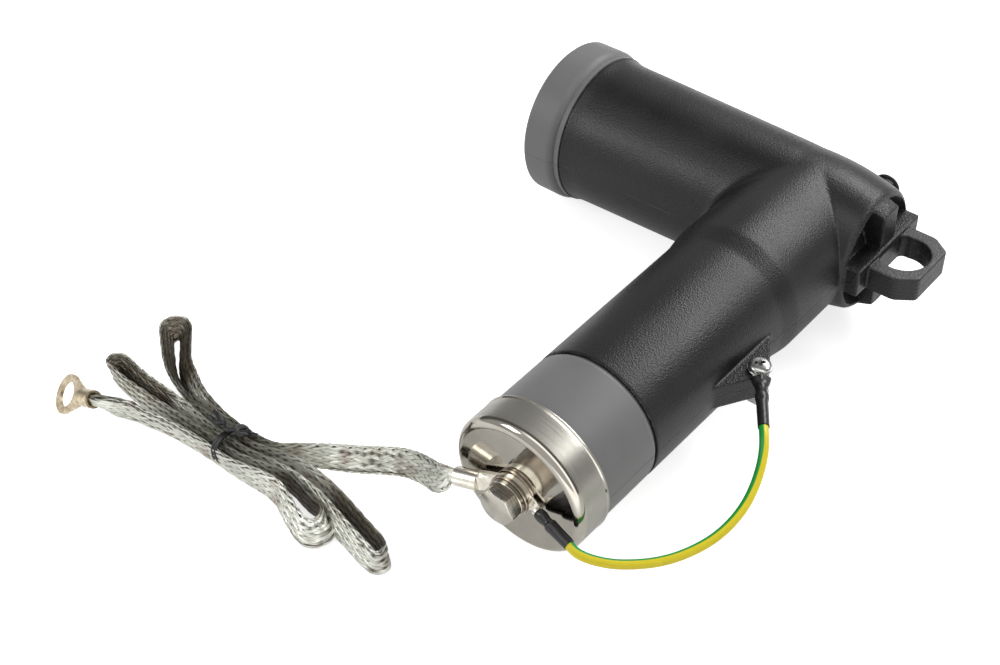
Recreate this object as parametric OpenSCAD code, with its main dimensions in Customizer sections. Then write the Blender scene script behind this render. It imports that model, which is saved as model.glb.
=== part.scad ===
/* [Bushing leg] */
// Distance from the arrester leg's axis to the mouth of the cuff
cuff_reach = 147; // [138:1:160]
// Radius of the grey cuff
cuff_r = 41; // [40:0.5:44]
// Length of the grey cuff that stands out of the jacket
cuff_len = 22; // [18:1:28]
// Rounding of the cuff's rear shoulder
cuff_round = 5; // [3:0.5:6]
// Radius of the jacket near the cuff
leg_a_front_r = 38; // [37:0.1:38.5]
// Radius of the jacket at the elbow
leg_a_rear_r = 35.6; // [35:0.1:36.2]
// Distance behind the arrester leg's axis at which the jacket ends
rear_len = 38; // [36:0.5:44]
// Radius of the tapered rear end where it stops
rim_r = 30; // [28.5:0.1:31]
// Rounding of the rear end's rim
rim_round = 2.5; // [1:0.5:3]
// Depth of the dished rear end
dish_depth = 5; // [3:0.5:6]

/* [Arrester leg] */
// Radius of the thick part beside the elbow
neck_r = 35.6; // [35:0.1:36.2]
// Distance from the bushing leg's axis to the end of the thick part
neck_len = 65; // [60:1:70]
// Length of the shoulder below the thick part
shoulder_len = 12.5; // [8:0.5:16]
// Radius of the jacket below the shoulder
leg_b_r = 33.9; // [33.4:0.1:34.6]
// Radius of the jacket at its mouth
leg_b_mouth_r = 33.4; // [33:0.1:33.8]
// Distance from the bushing leg's axis to the jacket's mouth
jacket_len = 168.4; // [160:0.2:174]
// Distance from the bushing leg's axis to the rear edge of the end cap
cap_rear = 202.5; // [196:0.5:206]
// Distance from the bushing leg's axis to the face of the end cap
cap_face = 220.5; // [218:0.5:226]
// Radius of the end cap
cap_r = 34.1; // [34:0.1:35]
// Thickness of the end cap's sheet
cap_wall = 1; // [0.8:0.1:1.5]
// Rounding between the end cap's side and its face
cap_round = 4; // [3:0.5:5]

/* [Rubber] */
// Thickness of the black jacket
jacket_wall = 3.5; // [3:0.1:4]
// Thickness of the rubber behind the rear end of the grey body
rear_wall = 10; // [9:0.5:12]
// Radius of the bend that fills the inner corner of the elbow
crotch_r = 4; // [2:0.5:8]

/* [Pulling eye] */
// Thickness of the eye and of the bar behind it
eye_t = 13; // [11:0.5:15]
// Distance from the arrester leg's axis to the tip of the eye
eye_reach = 67; // [65:0.5:72]
// Radius of the eye's hole
eye_hole_r = 12.2; // [11:0.2:13]
// Width of the eye
eye_w = 38; // [36:0.5:42]
// Width of the eye's straight tip
eye_tip_w = 25.6; // [22:0.2:28]
// Length of the eye's slanted corners
eye_corner_len = 9; // [7:0.5:11]
// Width of the cross bar
bar_w = 55; // [50:1:56]
// Distance from the arrester leg's axis to the front of the cross bar
bar_front = 44; // [43.5:0.5:46]
// Width of the upright rib
rib_w = 13; // [10:0.5:15]
// Height of the upright rib
rib_h = 55; // [48:1:56]

/* [Bushing socket] */
// Radius of the socket inside the cuff
socket_r = 29.5; // [28:0.5:31]
// Radius of the socket's taper at its large end
taper_big_r = 27.5; // [26:0.5:28]
// Radius of the socket's taper at its small end
taper_small_r = 19; // [18:0.5:20]
// Distance from the arrester leg's axis to the small end of the taper
taper_small_at = 42; // [40:1:46]
// Distance from the arrester leg's axis to the large end of the taper
taper_big_at = 120; // [114:1:124]
// Radius of the contact probe
probe_r = 5.5; // [5:0.1:6.5]
// Distance from the arrester leg's axis to the tip of the probe
probe_reach = 136; // [128:1:140]

/* [Arrester stack] */
// Thickness of one varistor disc
disc_h = 22; // [20:0.5:22]
// Radius of a varistor disc
disc_r = 20; // [18:0.5:20.5]
// Thickness of the glass fibre wrap
wrap_wall = 3.4; // [2.5:0.1:4]
// Thickness of the upper electrode
top_electrode_h = 20; // [16:0.5:22]

/* [Earth bolt] */
// Thread radius of the earth bolt
bolt_r = 5; // [4:0.5:5]
// Width across the flats of the bolt head
bolt_af = 16; // [15:0.5:17]
// Height of the bolt head
bolt_head_h = 6.4; // [5.5:0.1:7]
// Outer radius of the washers
washer_r = 10; // [9.6:0.1:11]
// Thickness of the washer that lies on the cap
seat_washer_t = 1; // [0.8:0.1:2]
// Thickness of the washer under the bolt head
head_washer_t = 1.8; // [1.5:0.1:2.5]
// Thickness of the spring washer
spring_washer_t = 2.2; // [1.8:0.1:3]

/* [Earth leads] */
// Width of the copper braid
braid_w = 12; // [10:0.5:12]
// Thickness of the copper braid's lead
braid_t = 3; // [2:0.5:4]
// Thickness of a braid lug's palm
braid_lug_t = 1.7; // [1.2:0.1:2]
// Diameter of the drain wire
wire_d = 4.2; // [3.6:0.1:4.6]
// Thickness of a drain lug's palm
drain_lug_t = 0.8; // [0.6:0.1:1.2]
// Wall of the shrink sleeves
shrink_wall = 0.4; // [0.3:0.1:0.8]

/* [Earth tab] */
// Length of the tab along the arrester leg
tab_len = 40; // [36:1:44]
// Distance from the bushing leg's axis to the tab's screw
tab_at = 106.3; // [104:0.1:112]
// Distance from the arrester leg's axis to the tab's screw
tab_screw_reach = 42; // [41:0.5:43]
// Thickness of the tab
tab_t = 13; // [11:0.5:15]
// Radius of the tab's rounded point
tab_point_r = 4.3; // [4:0.1:5]
// Thread radius of the tab's screw
tab_screw_r = 2.5; // [2:0.1:2.8]

/* [Test point] */
// Distance from the arrester leg's axis to the test point
test_at = 16; // [13:0.5:18]
// Distance from the bushing leg's axis to the top of the test cap
test_reach = 51; // [49:0.5:54]
// Radius of the test cap's rim
test_cap_r = 6.6; // [6.2:0.1:8]

/* [Hidden] */
$fn = 96;
// Gap between bonded or seated pieces
fit = 0.1;
deep = 400;

// Distances along the bushing leg, counted from the arrester leg's axis
jacket_end = cuff_reach - cuff_len;
flare_len = 6;
flare_r = leg_a_front_r + 0.9;
taper_from = 8;
lip_len = 2.2;
lip_r = flare_r + 0.5;
dish_r = rim_r - rim_round - 0.2;
eye_tip_wall = 3;
eye_hole_at = eye_reach - eye_tip_wall - eye_hole_r;
eye_insert_w = 6;
eye_insert_t = 1.3;
eye_insert_cover = 0.9;
body_rear = rear_len - rear_wall;
lock_groove_at = 127;
lock_groove_len = 4;
lock_groove_depth = 1.5;
mouth_chamfer = 1.5;

// Distances along the arrester leg, counted from the bushing leg's axis
mouth_lip_len = 6;
mouth_lip_wall = 1.3;
ridge_len = 3;
sleeve_r = cap_r - cap_wall - fit;
flange_t = 7.5;
sleeve_end = cap_face - cap_wall - flange_t;
shield_len = 28;
shield_r = 24;
connector_r = 15;
connector_top = 15;
connector_end = 24;
stack_top = shield_len;
disc_count = 6;
discs_at = stack_top + top_electrode_h;
discs_end = discs_at + disc_count * disc_h;
contact_plate_t = 3;
stack_spring_h = 6;
electrode_at = discs_end + contact_plate_t + stack_spring_h;
electrode_flange_r = 30;
wrap_r = disc_r + fit + wrap_wall;
wrap_end = sleeve_end - 2;
bolt_hole_r = bolt_r + 0.1;
bolt_grip = 16;

// The stack of pieces that the earth bolt clamps, counted outwards from the cap
seat_at = cap_face;
drain_lug_at = seat_at + seat_washer_t;
braid_lug_at = drain_lug_at + drain_lug_t;
head_washer_at = braid_lug_at + braid_lug_t;
spring_washer_at = head_washer_at + head_washer_t;
head_at = spring_washer_at + spring_washer_t;
head_end = head_at + bolt_head_h;

// Probe and its socket in the shield
probe_collar_r = 7;
probe_collar_len = 6;
probe_bore_r = 9;
probe_thread_r = 5;
probe_face = 13;
follower_len = 20;

// Braid lugs: where the barrel starts and ends, and its axis above the palm's back
lug_ring_r = 9.4;
near_barrel = [17, 28];
near_barrel_r = 4.3;
near_axis_z = 2.8;
near_angle = 190.5;
near_lean = 12;
far_hole_r = 6.25;
far_ring_r = 9.7;
far_barrel = [14, 25];
far_barrel_r = 4.3;
far_axis_z = braid_lug_t / 2;
far_tilt = 43;
far_rise = 25;
far_at = [-184, -194, 7.8];
barrel_wall = 1;
barrel_taper = 5;

// Drain lugs and the shrink sleeves on their barrels
drain_angle = -9;
drain_lift = 9.5;
drain_ring_r = 8.6;
drain_barrel_at = 12.3;
drain_barrel_len = 8;
drain_barrel_r = 1.9;
shrink_start = 1.5;
shrink_nose_r = 2.1;
shrink_cap_len = 19.6;
tab_lug_angle = -54;
tab_lug_ring_r = 4.7;
tab_lug_z = tab_t / 2;
tab_barrel_at = 9;
tab_nose_r = 3.8;
shrink_tab_len = 26.3;

// Fasteners on the earth tab
tab_head_r = 4.75;
tab_head_h = 3.2;
tab_nut_af = 8;
tab_nut_h = 4;
tab_washer_t = 1;
tab_washer_r = 5;

// Test point
test_boss_r = 4.8;
test_boss_end = 42;
test_stud_r = 2;
test_stud_end = 45;

// Place of the elbow's corner in the part's own frame
corner = [(cuff_reach - eye_reach) / 2, (head_end - test_reach) / 2, cuff_r];

// Routes of the cords, in the part's own frame
lead_route = [
    [12.1, -135.8, 35.8], [9.2, -136.9, 34.8], [6.3, -138, 32.4], [2.9, -137.7, 29.6],
    [-1.5, -136.2, 27], [-6, -134.8, 24.8], [-11.2, -133.6, 22.4], [-17, -132.9, 20],
    [-23, -133, 17.6], [-29, -133.9, 15], [-35, -135.3, 12.6], [-41, -137.3, 10.5],
    [-48, -140, 8.5], [-54.5, -143, 7.2], [-61, -146.5, 6.4], [-70, -151.6, 6], [-78.6, -156.6, 6]
];
tail_route = [
    [-161.1, -194, 18.5], [-158, -193.7, 19.7], [-155.2, -191, 17.6], [-153, -187, 13.2],
    [-149.5, -182.8, 9], [-142, -180, 6], [-132, -178, 6]
];
wire_route = [
    [72.8, -135.4, 35.8], [76.7, -136.1, 35.2], [81, -135.4, 34.6], [86, -133.3, 33.9],
    [91, -130.2, 33.2], [95.4, -126.5, 32.7], [99.5, -122.5, 32.4], [103.4, -118.2, 32.4],
    [106.8, -113.5, 32.5], [109.8, -108.2, 32.7], [112.4, -102.4, 33.1], [114.6, -96, 33.8],
    [116, -89, 34.8], [116.5, -82, 36], [116.2, -75, 37.5], [115.1, -68.3, 39.4],
    [113.4, -62, 41.8], [111.3, -56.4, 44.4], [109, -51.9, 47], [106.5, -48.3, 49],
    [103.7, -44.5, 49.4]
];

// Hank of braid on the table: its core under the tie, and each loop's middle line and width
tie_at = [-98.5, -167.5];
hank_h = braid_w;
braid_upright = 0.72 * braid_w;
hank_core = [46, 15];
hank_loops = [
    [[-112, -165, 9], [-132, -158.6, 11], [-146, -154.4, 13], [-157, -149.3, 15], [-168, -141, 16],
        [-178.5, -132, 14]],
    [[-114, -167.5, 9], [-134, -169.6, 9.6], [-154, -170, 12], [-168, -169.2, 12], [-181, -167.2, 10]],
    [[-84, -167, 9], [-62, -170.4, 14], [-46, -174.3, 17], [-36, -176.3, 17]],
    [[-84, -164, 10], [-64, -161.8, 12], [-44, -163.2, 14], [-18, -168.6, 14], [-1, -172.4, 11]]
];

// Moves the elbow's own frame into the part's frame
module in_place() {
    translate(corner)
        children();
}

// Turns a lathe shape, whose height is counted from the corner, along the bushing leg
module along_bushing_leg() {
    rotate([0, -90, 0])
        children();
}

// Turns a lathe shape, whose height is counted from the corner, along the arrester leg
module along_arrester_leg() {
    rotate([90, 0, 0])
        children();
}

// Ring or disc on a leg's axis from one distance to another
module ring(outer_r, inner_r, from, to) {
    translate([0, 0, from])
        difference() {
            cylinder(r = outer_r, h = to - from);
            if (inner_r > 0)
                translate([0, 0, -1])
                    cylinder(r = inner_r, h = to - from + 2);
        }
}

// Rectangle with rounded corners about its own centre
module rounded_rect(w, h, r) {
    square([w - 2 * r, h], center = true);
    square([w, h - 2 * r], center = true);
    for (x = [-1, 1], y = [-1, 1])
        translate([x * (w / 2 - r), y * (h / 2 - r)])
            circle(r, $fn = 48);
}

// Outline of the jacket on the bushing leg: radius against distance from the corner
module leg_a_outline() {
    intersection() {
        polygon([
            [0, -rear_len], [rim_r, -rear_len], [leg_a_rear_r, taper_from],
            [leg_a_front_r, jacket_end - flare_len], [flare_r, jacket_end], [0, jacket_end]
        ]);
        union() {
            translate([rim_r - rim_round, rim_round - rear_len])
                circle(rim_round);
            translate([0, -rear_len])
                square([rim_r - rim_round, rim_round + 1]);
            translate([0, rim_round - rear_len])
                square([deep, deep]);
        }
    }
}

// Outline of the jacket on the arrester leg
module leg_b_outline() {
    polygon([
        [0, 0], [neck_r, 0], [neck_r, neck_len], [leg_b_r, neck_len + shoulder_len],
        [leg_b_mouth_r, jacket_len], [0, jacket_len]
    ]);
}

// An outline moved inwards by a wall, cut off at a least and a greatest distance
module inset_outline(wall, from, to) {
    intersection() {
        translate([-wall, 0])
            children();
        translate([0, from])
            square([deep, to - from]);
    }
}

// The quarter bend that rounds the elbow's inner corner
module crotch_bend(tube_r) {
    bend_r = neck_r + crotch_r;
    translate([-bend_r, -bend_r, 0])
        rotate_extrude(angle = 90)
            translate([bend_r, 0])
                circle(tube_r);
}

// Space inside the jacket that the grey body fills
module body_space(gap) {
    along_bushing_leg()
        rotate_extrude()
            inset_outline(jacket_wall - gap, -body_rear - gap, jacket_end + 1)
                leg_a_outline();
    difference() {
        along_arrester_leg()
            rotate_extrude() {
                inset_outline(jacket_wall - gap, 0, jacket_len + 1)
                    leg_b_outline();
                translate([0, jacket_len - mouth_lip_len - gap])
                    square([leg_b_mouth_r - mouth_lip_wall + gap, mouth_lip_len + 1]);
            }
        translate([body_rear + gap, gap - dish_r - jacket_wall, -deep / 2])
            cube(deep);
    }
}

// Plan of the pulling eye, without its hole
module eye_plan() {
    corner_x = eye_reach - eye_corner_len;
    polygon([
        [bar_front - 1, -eye_w / 2], [corner_x, -eye_w / 2], [eye_reach, -eye_tip_w / 2],
        [eye_reach, eye_tip_w / 2], [corner_x, eye_w / 2], [bar_front - 1, eye_w / 2]
    ]);
}

// Plan of the eye's hole: round at the tip, square with rounded corners at the bar
module eye_hole_plan() {
    hole_back = bar_front + 0.5;
    corner_r = 3;
    translate([eye_hole_at, 0])
        circle(eye_hole_r);
    translate([(hole_back + eye_hole_at + corner_r) / 2, 0])
        rounded_rect(eye_hole_at + corner_r - hole_back, 2 * eye_hole_r - 0.6, corner_r);
}

// Plan of the steel loop inside the eye, grown by a gap
module eye_insert_plan(gap) {
    mid_r = eye_hole_r + eye_insert_cover + eye_insert_t / 2;
    half_t = eye_insert_t / 2 + gap;
    difference() {
        union() {
            translate([eye_hole_at, 0])
                circle(mid_r + half_t);
            translate([body_rear, -mid_r - half_t])
                square([eye_hole_at - body_rear, 2 * (mid_r + half_t)]);
        }
        translate([eye_hole_at, 0])
            circle(mid_r - half_t);
        translate([body_rear - 1, -mid_r + half_t])
            square([eye_hole_at - body_rear + 1, 2 * (mid_r - half_t)]);
    }
}

module eye_insert_solid(gap) {
    height = eye_insert_w + 2 * gap;
    translate([0, 0, -height / 2])
        linear_extrude(height)
            eye_insert_plan(gap);
}

// Plan of the earth tab: a triangle whose point is rounded about the screw
module tab_plan() {
    base_x = leg_b_r - 4;
    slope = (tab_screw_reach - leg_b_r + tab_point_r) / (tab_len / 2);
    reach = atan(slope);
    tangent = tab_point_r * [sin(reach), cos(reach)];
    translate([0, -tab_at]) {
        polygon([
            [base_x, -tab_len / 2 - 4 / slope], [base_x, tab_len / 2 + 4 / slope],
            [tab_screw_reach + tangent[1], tangent[0]],
            [tab_screw_reach + tangent[1], -tangent[0]]
        ]);
        translate([tab_screw_reach, 0])
            circle(tab_point_r);
    }
}

// Black rubber jacket with the earth tab, the rear end, the pulling eye and the test boss
module jacket() {
    color([0.16, 0.16, 0.165])
        in_place()
            difference() {
                union() {
                    difference() {
                        along_bushing_leg()
                            rotate_extrude()
                                leg_a_outline();
                        along_bushing_leg()
                            rotate_extrude()
                                polygon([
                                    [0, -rear_len - 1], [dish_r, -rear_len - 1],
                                    [dish_r, -rear_len + 0.6], [7, -rear_len + dish_depth],
                                    [0, -rear_len + dish_depth]
                                ]);
                    }
                    along_arrester_leg()
                        rotate_extrude()
                            leg_b_outline();
                    crotch_bend(neck_r - 0.2);
                    translate([(body_rear + bar_front) / 2, 0, -eye_t / 2])
                        linear_extrude(eye_t)
                            rounded_rect(bar_front - body_rear, bar_w, 1.5);
                    translate([(body_rear + bar_front - 1) / 2, 0, -rib_h / 2])
                        linear_extrude(rib_h)
                            rounded_rect(bar_front - 1 - body_rear, rib_w, 2);
                    translate([0, 0, -eye_t / 2])
                        linear_extrude(eye_t)
                            difference() {
                                eye_plan();
                                eye_hole_plan();
                            }
                    translate([0, 0, -tab_t / 2])
                        linear_extrude(tab_t)
                            tab_plan();
                    translate([test_at, 0, 0])
                        rotate([-90, 0, 0])
                            cylinder(r = test_boss_r, h = test_boss_end);
                }
                body_space(0);
                eye_insert_solid(fit);
                translate([tab_screw_reach, -tab_at, -tab_t])
                    cylinder(r = tab_screw_r + fit, h = 2 * tab_t);
                translate([test_at, 0, 0])
                    rotate([-90, 0, 0])
                        cylinder(r = test_stud_r + fit, h = test_reach);
            }
}

// Grey rubber body: the cuff, the lining of both legs and the sleeve under the cap
module insulating_body() {
    ridge_r = leg_b_mouth_r - 0.1;
    lip_r = leg_b_mouth_r - mouth_lip_wall - fit;
    color([0.47, 0.48, 0.48])
        in_place()
            difference() {
                union() {
                    body_space(-fit);
                    along_bushing_leg()
                        rotate_extrude()
                            cuff_outline();
                    along_arrester_leg()
                        rotate_extrude()
                            polygon([
                                [0, jacket_len - mouth_lip_len], [lip_r, jacket_len - mouth_lip_len],
                                [lip_r, jacket_len + 0.5], [ridge_r - 0.3, jacket_len + 1.6],
                                [ridge_r, jacket_len + ridge_len], [sleeve_r + 0.2, cap_rear - fit],
                                [sleeve_r, cap_rear], [sleeve_r, sleeve_end], [0, sleeve_end]
                            ]);
                }
                socket_space();
                shield_solid(fit);
                along_arrester_leg()
                    ring(wrap_r + fit, 0, shield_len - 1, sleeve_end + 1);
                translate([test_at, 0, 0])
                    rotate([-90, 0, 0])
                        cylinder(r = test_stud_r + fit, h = test_reach);
            }
}

// Outline of the cuff: a lip beside the jacket, a groove, and the wide end with its rounded edge
module cuff_outline() {
    groove_at = jacket_end + lip_len;
    intersection() {
        polygon([
            [0, jacket_end], [cuff_r, jacket_end], [cuff_r, cuff_reach - mouth_chamfer],
            [cuff_r - mouth_chamfer, cuff_reach], [0, cuff_reach]
        ]);
        union() {
            translate([0, jacket_end])
                square([lip_r, lip_len - 0.4]);
            square([lip_r - 0.6, deep]);
            translate([cuff_r - cuff_round, groove_at + cuff_round])
                circle(cuff_round);
            translate([0, groove_at])
                square([cuff_r - cuff_round, deep]);
            translate([0, groove_at + cuff_round])
                square([deep, deep]);
        }
    }
}

// Socket for the bushing: a chamfered mouth, a locking groove and a long taper
module socket_space() {
    along_bushing_leg()
        rotate_extrude()
            polygon([
                [0, taper_small_at], [taper_small_r, taper_small_at], [taper_big_r, taper_big_at],
                [socket_r, taper_big_at + 2], [socket_r, lock_groove_at],
                [socket_r + lock_groove_depth, lock_groove_at + 1],
                [socket_r + lock_groove_depth, lock_groove_at + lock_groove_len - 1],
                [socket_r, lock_groove_at + lock_groove_len],
                [socket_r, cuff_reach - mouth_chamfer], [socket_r + mouth_chamfer, cuff_reach],
                [socket_r + mouth_chamfer, cuff_reach + 1], [0, cuff_reach + 1]
            ]);
}

// Outer shape of the conductive shield round the connector, grown by a gap
module shield_solid(gap) {
    along_arrester_leg()
        ring(shield_r + gap, 0, -connector_top - 4 - gap, shield_len + gap);
    along_bushing_leg()
        ring(taper_small_r + gap, 0, 0, taper_small_at);
}

// Conductive rubber shield that hides the connector's edges from the field
module inner_shield() {
    color([0.12, 0.12, 0.12])
        in_place()
            difference() {
                shield_solid(0);
                along_arrester_leg()
                    ring(connector_r + fit, 0, -connector_top - fit, shield_len + 1);
                along_bushing_leg()
                    ring(probe_bore_r, 0, 0, taper_small_at + 1);
            }
}

// Steel loop that takes the pull of the hook stick
module eye_insert() {
    color([0.6, 0.61, 0.62])
        in_place()
            eye_insert_solid(0);
}

// Aluminium block at the elbow's corner, with the probe's threaded hole
module top_connector() {
    color([0.72, 0.73, 0.75])
        in_place()
            difference() {
                along_arrester_leg()
                    ring(connector_r, 0, -connector_top, connector_end);
                translate([-connector_r - probe_face, -connector_r, -connector_r])
                    cube([connector_r, 2 * connector_r, 2 * connector_r]);
                along_bushing_leg()
                    ring(probe_thread_r + fit, 0, 0, connector_r + 1);
            }
}

// Tinned copper rod that plugs into the bushing, with its threaded root and its collar
module contact_probe() {
    color([0.76, 0.72, 0.66])
        in_place()
            along_bushing_leg()
                rotate_extrude()
                    polygon([
                        [0, 1], [probe_thread_r - 1, 1], [probe_thread_r, 2],
                        [probe_thread_r, probe_face], [probe_collar_r, probe_face],
                        [probe_collar_r, probe_face + probe_collar_len - 1],
                        [probe_r, probe_face + probe_collar_len + 1],
                        [probe_r, probe_reach - follower_len], [0, probe_reach - follower_len]
                    ]);
}

// White arc-quenching tip of the probe
module arc_follower() {
    color([0.88, 0.86, 0.8])
        in_place()
            along_bushing_leg()
                rotate_extrude()
                    polygon([
                        [0, probe_reach - follower_len], [probe_r, probe_reach - follower_len],
                        [probe_r, probe_reach - 4], [probe_r - 1, probe_reach - 1],
                        [probe_r - 2.2, probe_reach], [0, probe_reach]
                    ]);
}

// Cup-shaped spring disc between the connector and the stack
module spring_disc(outer_r, inner_r, from, to, sheet) {
    along_arrester_leg()
        rotate_extrude()
            polygon([
                [inner_r, from], [inner_r + 1, from], [outer_r, to - sheet],
                [outer_r, to], [outer_r - 1, to], [inner_r, from + sheet]
            ]);
}

module contact_spring() {
    color([0.7, 0.66, 0.55])
        in_place()
            spring_disc(connector_r - 1, 6, connector_end, stack_top, 1.2);
}

module top_electrode() {
    color([0.74, 0.75, 0.77])
        in_place()
            along_arrester_leg()
                ring(disc_r, 0, stack_top, discs_at);
}

// One varistor disc, counted from the connector
module varistor(index) {
    rim = 0.6;
    from = discs_at + (index - 1) * disc_h;
    to = from + disc_h;
    color([0.24, 0.23, 0.25])
        in_place()
            along_arrester_leg()
                rotate_extrude()
                    polygon([
                        [0, from], [disc_r - rim, from], [disc_r, from + rim],
                        [disc_r, to - rim], [disc_r - rim, to], [0, to]
                    ]);
}

module contact_plate() {
    color([0.74, 0.75, 0.77])
        in_place()
            along_arrester_leg()
                ring(disc_r, 0, discs_end, discs_end + contact_plate_t);
}

module stack_spring() {
    color([0.6, 0.6, 0.58])
        in_place()
            spring_disc(disc_r - 1, 8, discs_end + contact_plate_t, electrode_at, 1.6);
}

// Aluminium electrode with the bolt's threaded hole, and a flange on the sleeve's end
module bottom_electrode() {
    color([0.74, 0.75, 0.77])
        in_place()
            difference() {
                along_arrester_leg()
                    union() {
                        ring(disc_r, 0, electrode_at, sleeve_end + 1);
                        ring(electrode_flange_r, 0, sleeve_end, cap_face - cap_wall);
                    }
                along_arrester_leg()
                    ring(bolt_r + fit / 2, 0, cap_face - bolt_grip - 2, cap_face + 1);
            }
}

// Glass fibre tube wound round the stack
module glass_wrap() {
    color([0.72, 0.74, 0.6])
        in_place()
            along_arrester_leg()
                ring(wrap_r, disc_r + fit, stack_top + fit, wrap_end);
}

// Deep-drawn stainless steel cup crimped on the sleeve
module end_cap() {
    inner_r = cap_r - cap_wall;
    inner_round = cap_round - cap_wall;
    color([0.72, 0.71, 0.69])
        in_place()
            along_arrester_leg()
                difference() {
                    rotate_extrude()
                        difference() {
                            union() {
                                translate([0, cap_rear])
                                    square([cap_r - cap_round, cap_face - cap_rear]);
                                translate([0, cap_rear])
                                    square([cap_r, cap_face - cap_rear - cap_round]);
                                translate([cap_r - cap_round, cap_face - cap_round])
                                    circle(cap_round);
                                translate([0, cap_rear])
                                    square([cap_r + 0.25, 1.2]);
                            }
                            translate([0, cap_rear - 1])
                                square([inner_r - inner_round, cap_face - cap_rear + 1 - cap_wall]);
                            translate([0, cap_rear - 1])
                                square([inner_r, cap_face - cap_rear + 1 - cap_round]);
                            translate([inner_r - inner_round, cap_face - cap_round])
                                circle(inner_round);
                        }
                    ring(bolt_hole_r, 0, cap_face - 2 * cap_wall, cap_face + 1);
                }
}

module seat_washer() {
    color([0.66, 0.63, 0.58])
        in_place()
            along_arrester_leg()
                ring(washer_r, bolt_hole_r, seat_at, seat_at + seat_washer_t);
}

module head_washer() {
    color([0.66, 0.63, 0.58])
        in_place()
            along_arrester_leg()
                ring(washer_r - 0.3, bolt_hole_r, head_washer_at, head_washer_at + head_washer_t);
}

// Split spring washer: a ring with a slanted cut
module spring_washer() {
    split_w = 1.2;
    color([0.6, 0.57, 0.54])
        in_place()
            along_arrester_leg()
                difference() {
                    ring(washer_r - 1.1, bolt_hole_r, spring_washer_at, head_at);
                    rotate(40)
                        translate([0, -split_w / 2, spring_washer_at - 1])
                            rotate([25, 0, 0])
                                cube([washer_r, split_w, 3 * spring_washer_t]);
                }
}

// Hexagon bolt with a chamfered head
module earth_bolt() {
    corner_r = bolt_af / sqrt(3);
    head_turn = -7;
    color([0.66, 0.64, 0.61])
        in_place()
            along_arrester_leg()
                union() {
                    ring(bolt_r, 0, cap_face - bolt_grip, head_at + 0.5);
                    intersection() {
                        rotate(head_turn)
                            translate([0, 0, head_at])
                                cylinder(r = corner_r, h = bolt_head_h, $fn = 6);
                        rotate_extrude()
                            polygon([
                                [0, head_at], [bolt_af / 2 + 0.2, head_at], [corner_r + 0.1, head_at + 0.6],
                                [corner_r + 0.1, head_end - 0.8], [bolt_af / 2 - 0.3, head_end], [0, head_end]
                            ]);
                    }
                }
}

// Ring lug about its own hole: a flat palm, and a barrel along +X whose near end is pressed flat
module lug(hole_r, ring_r, barrel, barrel_r, axis_z, lean) {
    neck_from = ring_r * 0.6;
    length = barrel[1] - barrel[0];
    difference() {
        union() {
            cylinder(r = ring_r, h = braid_lug_t);
            linear_extrude(braid_lug_t)
                polygon([
                    [neck_from, -ring_r * 0.8], [barrel[0] + 1, -barrel_r * 0.9],
                    [barrel[0] + 1, barrel_r * 0.9], [neck_from, ring_r * 0.8]
                ]);
            translate([barrel[0], 0, axis_z])
                rotate([0, 90 - lean, 0])
                    cylinder(r = barrel_r, h = length);
            pressed_end(barrel[0], barrel_r, axis_z);
        }
        translate([0, 0, -1])
            cylinder(r = hole_r, h = braid_lug_t + 2);
        translate([barrel[0], 0, axis_z])
            rotate([0, 90 - lean, 0])
                translate([0, 0, 2])
                    cylinder(r = barrel_r - barrel_wall, h = length);
    }
}

// Wedge between a lug's palm and its barrel
module pressed_end(from, barrel_r, axis_z) {
    half_w = barrel_r * 0.85;
    translate([0, half_w, 0])
        rotate([90, 0, 0])
            linear_extrude(2 * half_w)
                polygon([
                    [from - barrel_taper, 0], [from + 0.5, axis_z - barrel_r * 0.5],
                    [from + 0.5, axis_z + barrel_r * 0.5], [from - barrel_taper, braid_lug_t]
                ]);
}

// Places a lug on the earth bolt, turned about it
module on_bolt(distance, angle) {
    along_arrester_leg()
        rotate(angle)
            translate([0, 0, distance])
                children();
}

module braid_lug_near() {
    color([0.78, 0.76, 0.7])
        in_place()
            on_bolt(braid_lug_at, near_angle)
                lug(bolt_hole_r, lug_ring_r, near_barrel, near_barrel_r, near_axis_z, near_lean);
}

module braid_lug_far() {
    color([0.69, 0.64, 0.55])
        translate(far_at)
            rotate([0, -far_rise, 0])
                rotate([far_tilt, 0, 0])
                    translate([0, 0, -braid_lug_t / 2])
                        lug(far_hole_r, far_ring_r, far_barrel, far_barrel_r, far_axis_z, 0);
}

// Swept tube through a route: an ellipse of sides points round the line, its tall side upright
module swept(route, across, upright, sides) {
    last = len(route) - 1;
    heading = [for (i = [0:last])
        let (step = route[min(i + 1, last)] - route[max(i - 1, 0)]) step / norm(step)];
    side = [for (h = heading) let (s = cross(h, [0, 0, 1])) s / norm(s)];
    points = [for (i = [0:last], k = [0:sides - 1])
        let (a = 360 * k / sides, up = cross(side[i], heading[i]))
            route[i] + side[i] * cos(a) * across / 2 + up * sin(a) * upright / 2];
    walls = [for (i = [0:last - 1], k = [0:sides - 1])
        let (n = (k + 1) % sides)
            [i * sides + k, i * sides + n, (i + 1) * sides + n, (i + 1) * sides + k]];
    start_face = [[for (k = [sides - 1:-1:0]) k]];
    end_face = [[for (k = [0:sides - 1]) last * sides + k]];
    polyhedron(points, concat(walls, start_face, end_face), convexity = 6);
}

module braid_lead() {
    color([0.62, 0.63, 0.58])
        swept(lead_route, braid_t, braid_upright, 8);
}

module braid_tail() {
    color([0.62, 0.63, 0.58])
        swept(tail_route, braid_t, braid_upright, 8);
}

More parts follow.
